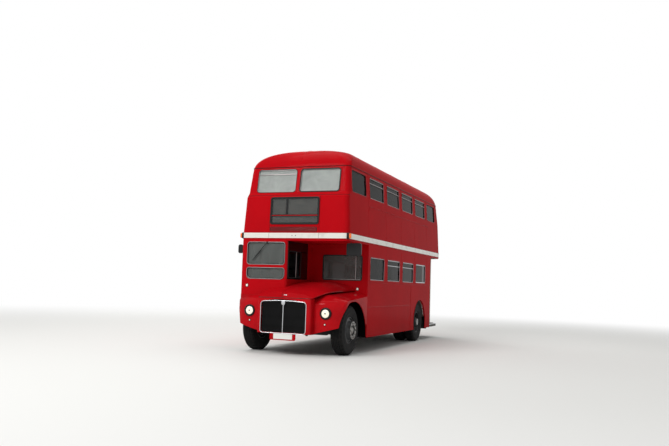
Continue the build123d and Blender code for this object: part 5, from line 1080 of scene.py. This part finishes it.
# indicators at the ends of the band: black base, amber cap
flasher = {"y": -3.8175, "z": 2.435,
           # size, distance from the middle of the bus, rounded edge
           "base": ((0.055, 0.062, 0.128), 1.199, 0.014), "cap": ((0.046, 0.052, 0.104), 1.246, 0.020)}
for form, name, material, slotName in (("base", "indicatorBases", blackEnamel, "black_plastic"),
                                       ("cap", "indicatorCaps", amberLens, "amber_lens")):
    size, x, edge = flasher[form]
    blocks = [putInFrame(edgedBlock(size, edge, 4, "NONE"),
                         Matrix.Translation((side * x, flasher["y"], flasher["z"]))) for side in (1, -1)]
    piece = dressPiece(joinPieces(blocks), name, material)
    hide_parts("indicators")

# front wings: a shell of beaten panels whose nose is rounded in plan and over the top
wing = {"innerX": 0.50, "halfWidth": 1.219, "crownX": 0.76, "crownZ": 1.193, "shoulderDrop": 0.105,
        "rise": 0.077, "datumY": -4.165, "backY": -2.575, "noseY": -4.040, "noseStart": -3.860,
        "noseTopZ": 1.110, "noseRise": 0.397, "cornerStart": -3.780, "cornerX": 0.819, "shoulderStart": -3.70,
        "frontCrownX": 0.62, "frontCrownZ": 1.040, "frontShoulderZ": 0.74, "valanceZ": 0.76, "footZ": 0.38,
        "noseRows": (-3.73, -3.7506, -3.765, -3.78, -3.795, -3.81, -3.825, -3.84, -3.86), "skin": 0.028,
        "archRadius": 0.755, "archFront": 0.615, "archY": -3.3455, "archZ": 0.356,
        "hem": ((0.50, 0.425), (1.229, 0.617)), "beadRadius": 0.008, "beadSunk": 0.007,
        # nothing of the right wing stands in the cab
        "cabCentre": (-0.567, -3.115, 1.465), "cabSize": (1.214, 1.4, 0.6)}
(hemX, hemZ), (hemX2, hemZ2) = wing["hem"]
hemRise = (hemZ2 - hemZ) / (hemX2 - hemX)


def hemHeight(x):
    return hemZ + (x - hemX) * hemRise


def shareBetween(y, start):
    # 0 behind start, growing to 1 at the nose
    return min(1.0, max(0.0, (start - y) / (start - wing["noseY"])))


def cornerHalf(y):
    # half width of the wing at that place along the bus
    share = shareBetween(y, wing["cornerStart"])
    return wing["cornerX"] + (wing["halfWidth"] - wing["cornerX"]) * math.sqrt(1 - share * share)


def wingSection(y):
    # points over the wing from its inner foot to the outer foot, at one place along the bus
    share, fall = shareBetween(y, wing["noseStart"]), shareBetween(y, wing["shoulderStart"])
    left = math.sqrt(1 - share * share)
    half = cornerHalf(y)
    top = wing["crownZ"] + wing["rise"] * (y - wing["datumY"])
    noseLine = wing["noseTopZ"] + wing["noseRise"] * (y - wing["noseY"])
    startZ = noseLine - (wing["noseTopZ"] - wing["frontCrownZ"]) * (1 - left)
    crownX = wing["frontCrownX"] + (wing["crownX"] - wing["frontCrownX"]) * left
    points = [(wing["innerX"], wing["valanceZ"])]
    for i in range(6):
        x = wing["innerX"] + (crownX - wing["innerX"]) * i / 6
        points.append((x, min(top, startZ) if share == 0 else startZ))
    kept = math.sqrt(1 - fall * fall) ** 1.6
    endZ = wing["frontShoulderZ"] + (top - wing["shoulderDrop"] - wing["frontShoulderZ"]) * kept
    crest = top if share == 0 else startZ
    for i in range(15):
        # a gentle curve behind, a quarter of an ellipse at the nose
        turn = i / 14
        across = turn + (math.sin(turn * math.pi / 2) - turn) * fall
        down = turn * turn + (1 - math.cos(turn * math.pi / 2) - turn * turn) * fall
        points.append((crownX + (half - crownX) * across, min(crest - (crest - endZ) * down, startZ)))
    for i in range(1, 7):
        points.append((half, endZ + (wing["footZ"] - endZ) * i / 6))
    return points


def archPoint(angle):
    # the opening is a circle behind the axle and squarer and steeper in front of it
    across, up = math.cos(angle), math.sin(angle)
    if across < 0:
        return (wing["archY"] - wing["archFront"] * abs(across) ** (2 / 3),
                wing["archZ"] + wing["archRadius"] * math.copysign(abs(up) ** (2 / 3), up))
    return wing["archY"] + wing["archRadius"] * across, wing["archZ"] + wing["archRadius"] * up


def makeWing():
    rows = [wing["backY"] + (wing["shoulderStart"] - wing["backY"]) * i / 14 for i in range(15)]
    rows += wing["noseRows"]
    rows += [wing["noseStart"] - (wing["noseStart"] - wing["noseY"]) * math.sin(math.pi / 2 * i / 12)
             for i in range(1, 13)]
    shell = openSheet("wingShell", [[(x, y, z) for x, z in wingSection(y)] for y in rows],
                      (wing["innerX"], wing["noseY"], wing["footZ"]))
    makeActive(shell)
    bpy.ops.object.mode_set(mode="EDIT")
    closeMesh(0.0004)
    bpy.ops.object.mode_set(mode="EDIT")
    bpy.ops.mesh.select_all(action="SELECT")
    # the hem rises towards the outside
    bpy.ops.mesh.bisect(plane_co=(hemX, 0, hemZ), plane_no=(-hemRise, 0, 1), clear_inner=True)
    bpy.ops.object.mode_set(mode="OBJECT")
    applyModifier(shell, "SOLIDIFY", {"thickness": wing["skin"], "offset": -1.0, "use_even_offset": False})
    deselectAll()
    bpy.ops.mesh.primitive_cylinder_add(vertices=160, radius=wing["archRadius"], depth=0.4,
                                        rotation=(0, math.pi / 2, 0),
                                        location=(wing["halfWidth"], wing["archY"], wing["archZ"]))
    cutter = bpy.context.object
    bpy.ops.object.transform_apply(location=True, rotation=True, scale=True)
    for vert in cutter.data.vertices:
        vert.co.y, vert.co.z = archPoint(math.atan2(vert.co.z - wing["archZ"], vert.co.y - wing["archY"]))
    applyModifier(shell, "BOOLEAN", {"operation": "DIFFERENCE", "object": cutter})
    bpy.data.objects.remove(cutter)
    return shell


def wingBead(side):
    # along the hem to the outer corner, then round the edge of the arch
    sunk = wing["beadSunk"]
    line = [(side * (hemX + 0.1), wing["noseY"] + 0.008, hemHeight(hemX + 0.1))]
    for i in range(17):
        turn = math.pi / 2 * (1 - i / 16)
        x = wing["cornerX"] + (wing["halfWidth"] - wing["cornerX"] - sunk) * math.cos(turn)
        y = wing["cornerStart"] - (wing["cornerStart"] - wing["noseY"] - sunk) * math.sin(turn)
        if y < wing["archY"] - wing["archFront"] + 0.004:
            line.append((side * x, y, hemHeight(x)))
    for i in range(41):
        y, z = archPoint(math.pi * (1 - i / 40))
        x = cornerHalf(y) - sunk
        if z > hemHeight(x) + 0.004 or y > wing["archY"]:
            line.append((side * x, y, z))
    return beadAlong(line, wing["beadRadius"])


# the apron carries the cab panel down to the wing round its front corner
apron = {"z": (1.0, 1.19), "frontY": -3.8585, "sideX": -1.2175, "radius": 0.105, "from": -0.60, "to": -3.58,
         "skin": 0.006}
plan = [(apron["from"], apron["frontY"])]
for i in range(13):
    turn = math.radians(270 - 90 * i / 12)
    plan.append((apron["sideX"] + apron["radius"] * (1 + math.cos(turn)),
                 apron["frontY"] + apron["radius"] * (1 + math.sin(turn))))
plan.append((apron["sideX"], apron["to"]))
skirt = openSheet("cabApron", [[(x, y, z) for x, y in plan] for z in reversed(apron["z"])])
applyModifier(skirt, "SOLIDIFY", {"thickness": apron["skin"], "offset": 1.0})
dressPiece(skirt, "cabApron", wingPaint)
leftWing = makeWing()
rightWing = mirroredPiece(leftWing)
room = putInFrame(edgedBlock(wing["cabSize"], 0.0, 0), Matrix.Translation(wing["cabCentre"]))
applyModifier(rightWing, "BOOLEAN", {"operation": "DIFFERENCE", "object": room})
bpy.data.objects.remove(room)
for form, label in ((leftWing, "left"), (rightWing, "right")):
    piece = dressPiece(form, f"frontWing.{label}", wingShellPaint, smoothAngle=40.0)
    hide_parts(f"wing_{label}")
dressPiece(joinPieces([wingBead(1), wingBead(-1)]), "wingBeads", wingPaint, smoothAngle=60.0)
print("front dressed")

# tyres: ribbed tread with shoulder lugs, moulded rings on the sidewall
tyre = {"radius": 0.515, "width": 0.27, "segments": 96, "groove": 0.012, "grooveWidth": 0.010, "ribs": 5,
        "lugDepth": 0.009, "lugEvery": 3, "lugFrom": 0.47, "lugSide": (0.012, 0.078),
        # distance from the outer face, radius: from the bead of the tyre over the sidewall to the tread
        "sidewall": ((0.030, 0.2695), (0.014, 0.285), (0.005, 0.33), (0.0055, 0.336), (0.001, 0.338),
                     (0.000, 0.39), (0.0035, 0.392), (0.004, 0.398), (0.0015, 0.400), (0.006, 0.45),
                     (0.010, 0.470), (0.014, 0.481), (0.028, 0.500), (0.048, 0.5145))}


def tyreProfile():
    rows = list(tyre["sidewall"])
    shoulder = rows[-1][0]
    pitch = (tyre["width"] - 2 * shoulder) / tyre["ribs"]
    half = tyre["grooveWidth"] / 2
    for i in range(1, tyre["ribs"]):
        centre = shoulder + i * pitch
        rows += [(centre - half, tyre["radius"]), (centre - half * 0.5, tyre["radius"] - tyre["groove"]),
                 (centre + half * 0.5, tyre["radius"] - tyre["groove"]), (centre + half, tyre["radius"])]
    return rows + [(tyre["width"] - x, r) for x, r in reversed(tyre["sidewall"])]


def selectFaces(piece, wanted):
    # in edit mode: selects just the faces that wanted says yes to
    bpy.ops.object.mode_set(mode="EDIT")
    bpy.ops.mesh.select_mode(type="FACE")
    bpy.ops.mesh.select_all(action="DESELECT")
    for face in bmesh.from_edit_mesh(piece.data).faces:
        face.select_set(wanted(face))
    bmesh.update_edit_mesh(piece.data)


def isLug(face):
    spot = face.calc_center_median()
    turn = int((math.atan2(spot.y, spot.z) + math.pi) / (2 * math.pi / tyre["segments"]))
    shoulder = min(spot.x, tyre["width"] - spot.x)
    return (turn % tyre["lugEvery"] == 0 and math.hypot(spot.y, spot.z) > tyre["lugFrom"]
            and tyre["lugSide"][0] < shoulder < tyre["lugSide"][1])


tyreForm = turnedForm(tyreProfile(), tyre["segments"])
selectFaces(tyreForm, isLug)
bpy.ops.mesh.extrude_region_shrink_fatten(TRANSFORM_OT_shrink_fatten={"value": -tyre["lugDepth"]})
bpy.ops.object.mode_set(mode="OBJECT")
axles = {"frontY": -3.3355, "rearY": 1.7955, "hubZ": 0.515, "frontFaceX": 1.135, "rearFacesX": (1.170, 0.850)}


def wheelFrame(side, faceX, axleY, flip):
    # at the outer face of a wheel, its local X out of the bus, or into it where flipped
    turn = math.pi if (side == -1) != flip else 0.0
    return Matrix.Translation((side * faceX, axleY, axles["hubZ"])) @ Matrix.Rotation(turn, 4, "Z")


for name, facesX, axleY, bodyName, node in (
        ("frontTyre", (axles["frontFaceX"],), axles["frontY"], "front_wheel", "front_tyre"),
        ("rearTyres", axles["rearFacesX"], axles["rearY"], "rear_wheels", "rear_tyres")):
    for label, side in (("left", 1), ("right", -1)):
        tyres = joinPieces([copyPiece(tyreForm, wheelFrame(side, x, axleY, True)) for x in facesX])
        dressPiece(tyres, f"{name}.{label}", tyreRubber, f"{bodyName}_{label}", 30.0)
        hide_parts(f"{node}_{label}")
bpy.data.objects.remove(tyreForm)
print("tyres moulded")

# wheels: nut guard ring with its holes, nuts and studs, hub cap
hub = {"nuts": 10, "nutCircle": 0.148, "nutRadius": 0.017, "nutLength": 0.022, "holeRadius": 0.024,
       "rearCircle": 0.160, "rearNutX": -0.153,
       # distance out of the wheel's face, radius
       "guard": ((0.052, 0.112), (0.056, 0.116), (0.058, 0.176), (0.056, 0.182), (0.048, 0.182),
                 (0.046, 0.112)),
       "cap": ((0.005, 0.072), (0.030, 0.070), (0.044, 0.058), (0.050, 0.030), (0.050, 0.0004),
               (0.005, 0.0004)),
       "rearCap": ((-0.012, 0.088), (-0.002, 0.086), (0.002, 0.070), (-0.004, 0.050), (-0.004, 0.0004),
                   (-0.012, 0.0004))}
nutTurns = [2 * math.pi * i / hub["nuts"] for i in range(hub["nuts"])]


def crossCylinder(vertices, radius, depth, spot=(0, 0, 0)):
    # a cylinder along X
    deselectAll()
    bpy.ops.mesh.primitive_cylinder_add(vertices=vertices, radius=radius, depth=depth,
                                        rotation=(0, math.pi / 2, 0), location=spot)
    return bpy.context.object


def makeNut():
    # a six-sided nut with the end of its stud
    nut = crossCylinder(6, hub["nutRadius"], hub["nutLength"])
    bpy.ops.object.transform_apply(location=True, rotation=True, scale=True)
    selectFaces(nut, lambda face: face.normal.x > 0.9)
    bpy.ops.mesh.inset(thickness=0.006)
    bpy.ops.mesh.extrude_region_move(TRANSFORM_OT_translate={"value": (0.012, 0, 0)})
    bpy.ops.object.mode_set(mode="OBJECT")
    applyModifier(nut, "BEVEL", {"width": 0.0018, "segments": 2, "limit_method": "ANGLE"})
    return nut


def makeGuard():
    # a flat ring over the wheel's rim, with a hole for each nut
    ring = turnedForm(hub["guard"], 60)
    holes = []
    for angle in nutTurns:
        spot = (0.05, hub["nutCircle"] * math.cos(angle), hub["nutCircle"] * math.sin(angle))
        holes.append(crossCylinder(24, hub["holeRadius"], 0.1, spot))
    cutter = joinPieces(holes)
    applyModifier(ring, "BOOLEAN", {"operation": "DIFFERENCE", "object": cutter})
    bpy.data.objects.remove(cutter)
    return ring


nutForm, guardForm = makeNut(), makeGuard()
rearNutSpot = Matrix.Translation((hub["rearNutX"], hub["rearCircle"], 0))
for label, side in (("left", 1), ("right", -1)):
    frontBody, rearBody = f"front_wheel_{label}", f"rear_wheels_{label}"
    frontHub = wheelFrame(side, axles["frontFaceX"], axles["frontY"], False)
    rearHub = wheelFrame(side, axles["rearFacesX"][0], axles["rearY"], False)
    guard = [copyPiece(guardForm, frontHub), putInFrame(turnedForm(hub["cap"], 36), frontHub)]
    dressPiece(joinPieces(guard), f"nutGuard.{label}", guardSteel, frontBody, 40.0)
    frontNuts, rearNuts = [], []
    for angle in nutTurns:
        spin = Matrix.Rotation(angle, 4, "X")
        frontNuts.append(copyPiece(nutForm, frontHub @ spin @ Matrix.Translation((0, hub["nutCircle"], 0))))
        rearNuts.append(copyPiece(nutForm, rearHub @ spin @ rearNutSpot))
    rearNuts.append(putInFrame(turnedForm(hub["rearCap"], 36), rearHub))
    dressPiece(joinPieces(frontNuts), f"wheelNuts.{label}", guardSteel, frontBody)
    dressPiece(joinPieces(rearNuts), f"rearWheelNuts.{label}", guardSteel, rearBody)
for form in (nutForm, guardForm):
    bpy.data.objects.remove(form)
print("wheels dressed")

# seats: padded squabs and backs in moquette
seat = {
    "aisle": 0.25, "width": 0.86, "depth": 0.43, "rise": 0.44, "squab": 0.11, "backRise": 0.93, "back": 0.07,
    "backLap": 0.06, "pitch": 0.74, "squabEdge": 0.03, "backEdge": 0.025,
    # side, deck, floor height, first front edge, rows
    "rows": ((1, "upper", 2.49, -3.33, 10), (-1, "upper", 2.49, -3.33, 7), (1, "lower", 0.68, -2.33, 4),
             (-1, "lower", 0.68, -2.33, 4)),
}
foam = {"voxel": 0.024, "shrink": 0.007, "swell": 0.009, "pressure": 4.0, "steps": 20}


def paddedBlock(width, depth, height, edge):
    # a foam pad about the origin: a block, rounded and remeshed, then swollen by cloth under pressure
    shrink = 2 * foam["shrink"]
    pad = edgedBlock((width - shrink, depth - shrink, height - shrink), edge, 3, "NONE")
    applyModifier(pad, "REMESH", {"mode": "VOXEL", "voxel_size": foam["voxel"]})
    before = [vert.co.copy() for vert in pad.data.vertices]
    makeActive(pad)
    bpy.ops.object.modifier_add(type="CLOTH")
    cloth = pad.modifiers[-1]
    cloth.settings.use_pressure = True
    cloth.settings.uniform_pressure_force = foam["pressure"]
    cloth.settings.effector_weights.gravity = 0.0
    cloth.point_cache.frame_start = 1
    cloth.point_cache.frame_end = foam["steps"]
    for step in range(1, foam["steps"] + 1):
        bpy.context.scene.frame_set(step)
    bpy.ops.object.modifier_apply(modifier=cloth.name)
    bpy.context.scene.frame_set(1)
    for vert, start in zip(pad.data.vertices, before):
        move = vert.co - start
        if move.length > foam["swell"]:
            vert.co = start + move.normalized() * foam["swell"]
    return pad


def dressPads(pieces, name, material, node):
    piece = dressPiece(joinPieces(pieces), name, material, smoothAngle=60.0)
    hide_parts(node)


squabForm = paddedBlock(seat["width"], seat["depth"], seat["squab"], seat["squabEdge"])
backForm = paddedBlock(seat["width"], seat["back"], seat["backRise"] - seat["rise"] + seat["backLap"],
                       seat["backEdge"])
pads = {"upperSquabs": [], "upperBacks": [], "lowerSquabs": [], "lowerBacks": []}
for side, deck, floor, first, count in seat["rows"]:
    x = side * (seat["aisle"] + seat["width"] / 2)
    squabZ = floor + seat["rise"] - seat["squab"] / 2
    backZ = floor + (seat["backRise"] + seat["rise"] - seat["backLap"]) / 2
    for i in range(count):
        y = first + i * seat["pitch"]
        squabSpot = Matrix.Translation((x, y + seat["depth"] / 2, squabZ))
        backSpot = Matrix.Translation((x, y + seat["depth"] + seat["back"] / 2, backZ))
        pads[f"{deck}Squabs"].append(copyPiece(squabForm, squabSpot))
        pads[f"{deck}Backs"].append(copyPiece(backForm, backSpot))
# benches over the rear wheels, facing each other
bench = {"x": (0.56, 1.094), "backX": (1.094, 1.174), "length": 1.28, "z": 1.11, "squab": 0.11, "back": 0.40}
benchForm = paddedBlock(span(bench["x"]), bench["length"], bench["squab"], seat["squabEdge"])
benchBackForm = paddedBlock(span(bench["backX"]), bench["length"], bench["back"], seat["backEdge"])
for side in (1, -1):
    for group, form, xRange, thick in (("lowerSquabs", benchForm, bench["x"], bench["squab"]),
                                       ("lowerBacks", benchBackForm, bench["backX"], bench["back"])):
        spot = (side * middle(xRange), axles["rearY"], bench["z"] + thick / 2)
        pads[group].append(copyPiece(form, Matrix.Translation(spot)))
for name, group in pads.items():
    dressPads(group, name, woolMoquette, "seat_cushions")
# driver's seat: size, centre of the squab and of the back
driverSeat = (((0.44, 0.43, 0.09), (-0.68, -2.945, 1.345)), ((0.42, 0.08, 0.49), (-0.68, -2.69, 1.575)))
parts = []
for size, spot in driverSeat:
    parts.append(putInFrame(paddedBlock(*size, seat["backEdge"]), Matrix.Translation(spot)))
dressPads(parts, "driverSeatPads", leathercloth, "driver_seat")
for form in (squabForm, backForm, benchForm, benchBackForm):
    bpy.data.objects.remove(form)
print("seats padded")

# platform: an alloy nosing round its outer edge
platform = {"z": 0.400, "sideX": 1.174, "frontY": 2.93, "cornerY": 3.849, "cornerRadius": 0.275, "endX": 0.66,
            "nosing": 0.012}
cornerX = platform["sideX"] - platform["cornerRadius"]
edgeLine = [(platform["sideX"], platform["frontY"], platform["z"])]
for i in range(13):
    angle = math.radians(90 * i / 12)
    edgeLine.append((cornerX + platform["cornerRadius"] * math.cos(angle),
                     platform["cornerY"] + platform["cornerRadius"] * math.sin(angle), platform["z"]))
edgeLine.append((platform["endX"], platform["cornerY"] + platform["cornerRadius"], platform["z"]))
dressPiece(beadAlong(edgeLine, platform["nosing"]), "platformEdge", windowAlloy, smoothAngle=60.0)

# mirror glasses: x from and to, z from and to, y
mirrorFaces = (((1.075, 1.40), (2.05, 2.306), -3.53), ((-1.40, -1.29), (2.06, 2.25), -3.63))
mirrorBorder = 0.02
parts = []
for xRange, zRange, y in mirrorFaces:
    glass = roundedPlate(span(xRange) - mirrorBorder, span(zRange) - mirrorBorder, [0.032] * 4, 0.003)
    parts.append(putInFrame(glass, wallFrame((middle(xRange), y, middle(zRange)), (-1, 0, 0))))
dressPiece(joinPieces(parts), "mirrorGlasses", mirrorGlass)

# emergency window upstairs at the back: rubber round the glass and a bar handle at its foot
exitWindow = {"foot": (0.0, 4.161, 3.357), "up": (0.0, -0.249662, 0.968333), "middle": 0.265,
              "frame": (0.926, 0.356), "radius": 0.034, "rubber": 0.016, "rubberDepth": 0.008, "sunk": 0.004,
              "handleUp": 0.070, "handleHalf": 0.07, "feetX": (-0.055, 0.055), "gripOut": 0.016,
              "feetOut": (-0.002, 0.018)}
place = wallFrame(exitWindow["foot"], (-1, 0, 0), exitWindow["up"])
start = place @ Vector((0.48, exitWindow["middle"], 0.4))
hit, spot = cadNodes["emergency_window"].ray_cast(start, -place.col[2].xyz)[:2]
outerFace = outBy(place, (place.inverted() @ spot).z if hit else 0.0)
ring = roundedFrame(*exitWindow["frame"], [exitWindow["radius"]] * 4, exitWindow["rubber"],
                    exitWindow["rubberDepth"], 0.003)
putInFrame(ring, outerFace @ Matrix.Translation((0, exitWindow["middle"], -exitWindow["sunk"])))
dressPiece(ring, "exitWindowRubber", rubberAndShadeBlack, "emergency_window")
up, half = exitWindow["handleUp"], exitWindow["handleHalf"]
grip = [edgedBar((-half, up, exitWindow["gripOut"]), (half, up, exitWindow["gripOut"]), 0.014, 0.010, 0.004)]
for x in exitWindow["feetX"]:
    grip.append(edgedBar(*((x, up, out) for out in exitWindow["feetOut"]), 0.012, 0.012, 0.003, (1, 0, 0)))
grip = [putInFrame(part, outerFace) for part in grip]
dressPiece(joinPieces(grip), "exitWindowHandle", windowAlloy, "emergency_window")
print("platform, mirrors and emergency window dressed")

# finishes of the CAD nodes that stay
finishes = {
    "roof upper_side_left upper_side_right upper_front upper_rear emergency_window lower_side_left "
    "lower_side_right rear_wall front_bulkhead cab_shell cab_door": bodyPaint,
    "bonnet grille_shell canopy_soffit": wingPaint,
    "cantrail_band": creamEnamel,
    "staircase": stairPaint,
    "destination_box": rubberAndShadeBlack,
    "grille_slats steering_wheel steering_column mirrors": blackEnamel,
    "lower_glass upper_glass emergency_glass cab_door_glass": windowGlass,
    "tail_lamps": redLens,
    "number_plate": plateEnamel,
    "lower_floor upper_floor platform cab_floor": ribbedTread,
    "seat_frames": seatTube,
    "grab_poles": poleSleeve,
    "underframe front_axle rear_axle track_rod": chassisPaint,
    "engine knuckle_left knuckle_right": castIron,
    "front_rim_left front_rim_right rear_rims_left rear_rims_right": wheelPaint,
}
for names, material in finishes.items():
    for name in names.split():
        cadNodes[name].data.materials.clear()
        cadNodes[name].data.materials.append(material)
print("finishes given")


def buildCamera():
    yaw, pitch, roll = (math.radians(cameraPlace[k]) for k in ("yaw", "pitch", "roll"))
    look = Vector((-math.sin(yaw) * math.cos(pitch), math.cos(yaw) * math.cos(pitch), math.sin(pitch)))
    right = Vector((math.cos(yaw), math.sin(yaw), 0))
    above = right.cross(look)
    turnedRight = right * math.cos(roll) + above * math.sin(roll)
    turnedUp = above * math.cos(roll) - right * math.sin(roll)
    deselectAll()
    bpy.ops.object.camera_add()
    camera = bpy.context.object
    camera.name = "streetCamera"
    camera.matrix_world = placed(turnedRight, turnedUp, -look, cameraPlace["spot"])
    camera.data.lens = cameraPlace["lens"]
    camera.data.sensor_width = cameraPlace["sensorWidth"]
    camera.data.sensor_fit = "HORIZONTAL"
    camera.data.clip_end = cameraPlace["clipEnd"]
    bpy.context.scene.camera = camera


def seenRays(tree):
    # 1 for rays of the camera, of reflections and of glass
    ray = addNode(tree, "ShaderNodeLightPath", {}, {})
    seen = addNode(tree, "ShaderNodeMath", {"operation": "MAXIMUM"},
                   {0: ray.outputs["Is Camera Ray"], 1: ray.outputs["Is Glossy Ray"]})
    seenToo = addNode(tree, "ShaderNodeMath", {"operation": "MAXIMUM"},
                      {0: seen.outputs[0], 1: ray.outputs["Is Transmission Ray"]})
    return seenToo.outputs[0]


def buildFloor():
    deselectAll()
    bpy.ops.mesh.primitive_plane_add(size=studio["floorSize"])
    floor = bpy.context.object
    floor.name = "studioFloor"
    # matt floor paint: far from the bus it fades to plain white, near it the shadow shows
    paint = newMaterial("studioFloorPaint", studio["floorColour"], 0.9)
    tree = paint.node_tree
    place = addNode(tree, "ShaderNodeTexCoord", {}, {})
    away = addNode(tree, "ShaderNodeVectorMath", {"operation": "LENGTH"}, {0: place.outputs["Object"]})
    fade = addNode(tree, "ShaderNodeMapRange",
                   {"From Min": studio["fadeFrom"], "From Max": studio["fadeTo"],
                    "interpolation_type": "SMOOTHSTEP"}, {"Value": away.outputs["Value"]})
    share = addNode(tree, "ShaderNodeMath", {"operation": "MULTIPLY"},
                    {0: fade.outputs["Result"], 1: seenRays(tree)})
    glow = addNode(tree, "ShaderNodeEmission", {"Strength": 1.0}, {})
    mixed = addNode(tree, "ShaderNodeMixShader", {},
                    {0: share.outputs[0], 1: tree.nodes["Principled BSDF"].outputs["BSDF"],
                     2: glow.outputs["Emission"]})
    tree.links.new(mixed.outputs["Shader"], tree.nodes["Material Output"].inputs["Surface"])
    floor.data.materials.append(paint)


def buildLight():
    for name, spot, size, power, aim in studio["lamps"]:
        deselectAll()
        bpy.ops.object.light_add(type="AREA", location=spot)
        light = bpy.context.object
        light.name = name
        light.data.size = size
        light.data.energy = power
        light.rotation_euler = (Vector(aim) - Vector(spot)).to_track_quat("-Z", "Y").to_euler()
    world = bpy.data.worlds.new("studioWorld")
    bpy.context.scene.world = world
    world.use_nodes = True
    tree = world.node_tree
    strength = addNode(tree, "ShaderNodeMapRange", {"To Min": studio["worldStrength"], "To Max": 1.0},
                       {"Value": seenRays(tree)})
    tree.nodes["Background"].inputs["Color"].default_value = (1, 1, 1, 1)
    tree.links.new(strength.outputs["Result"], tree.nodes["Background"].inputs["Strength"])


buildCamera()
buildFloor()
buildLight()
bpy.context.scene.view_settings.view_transform = "Standard"
print("stage set")
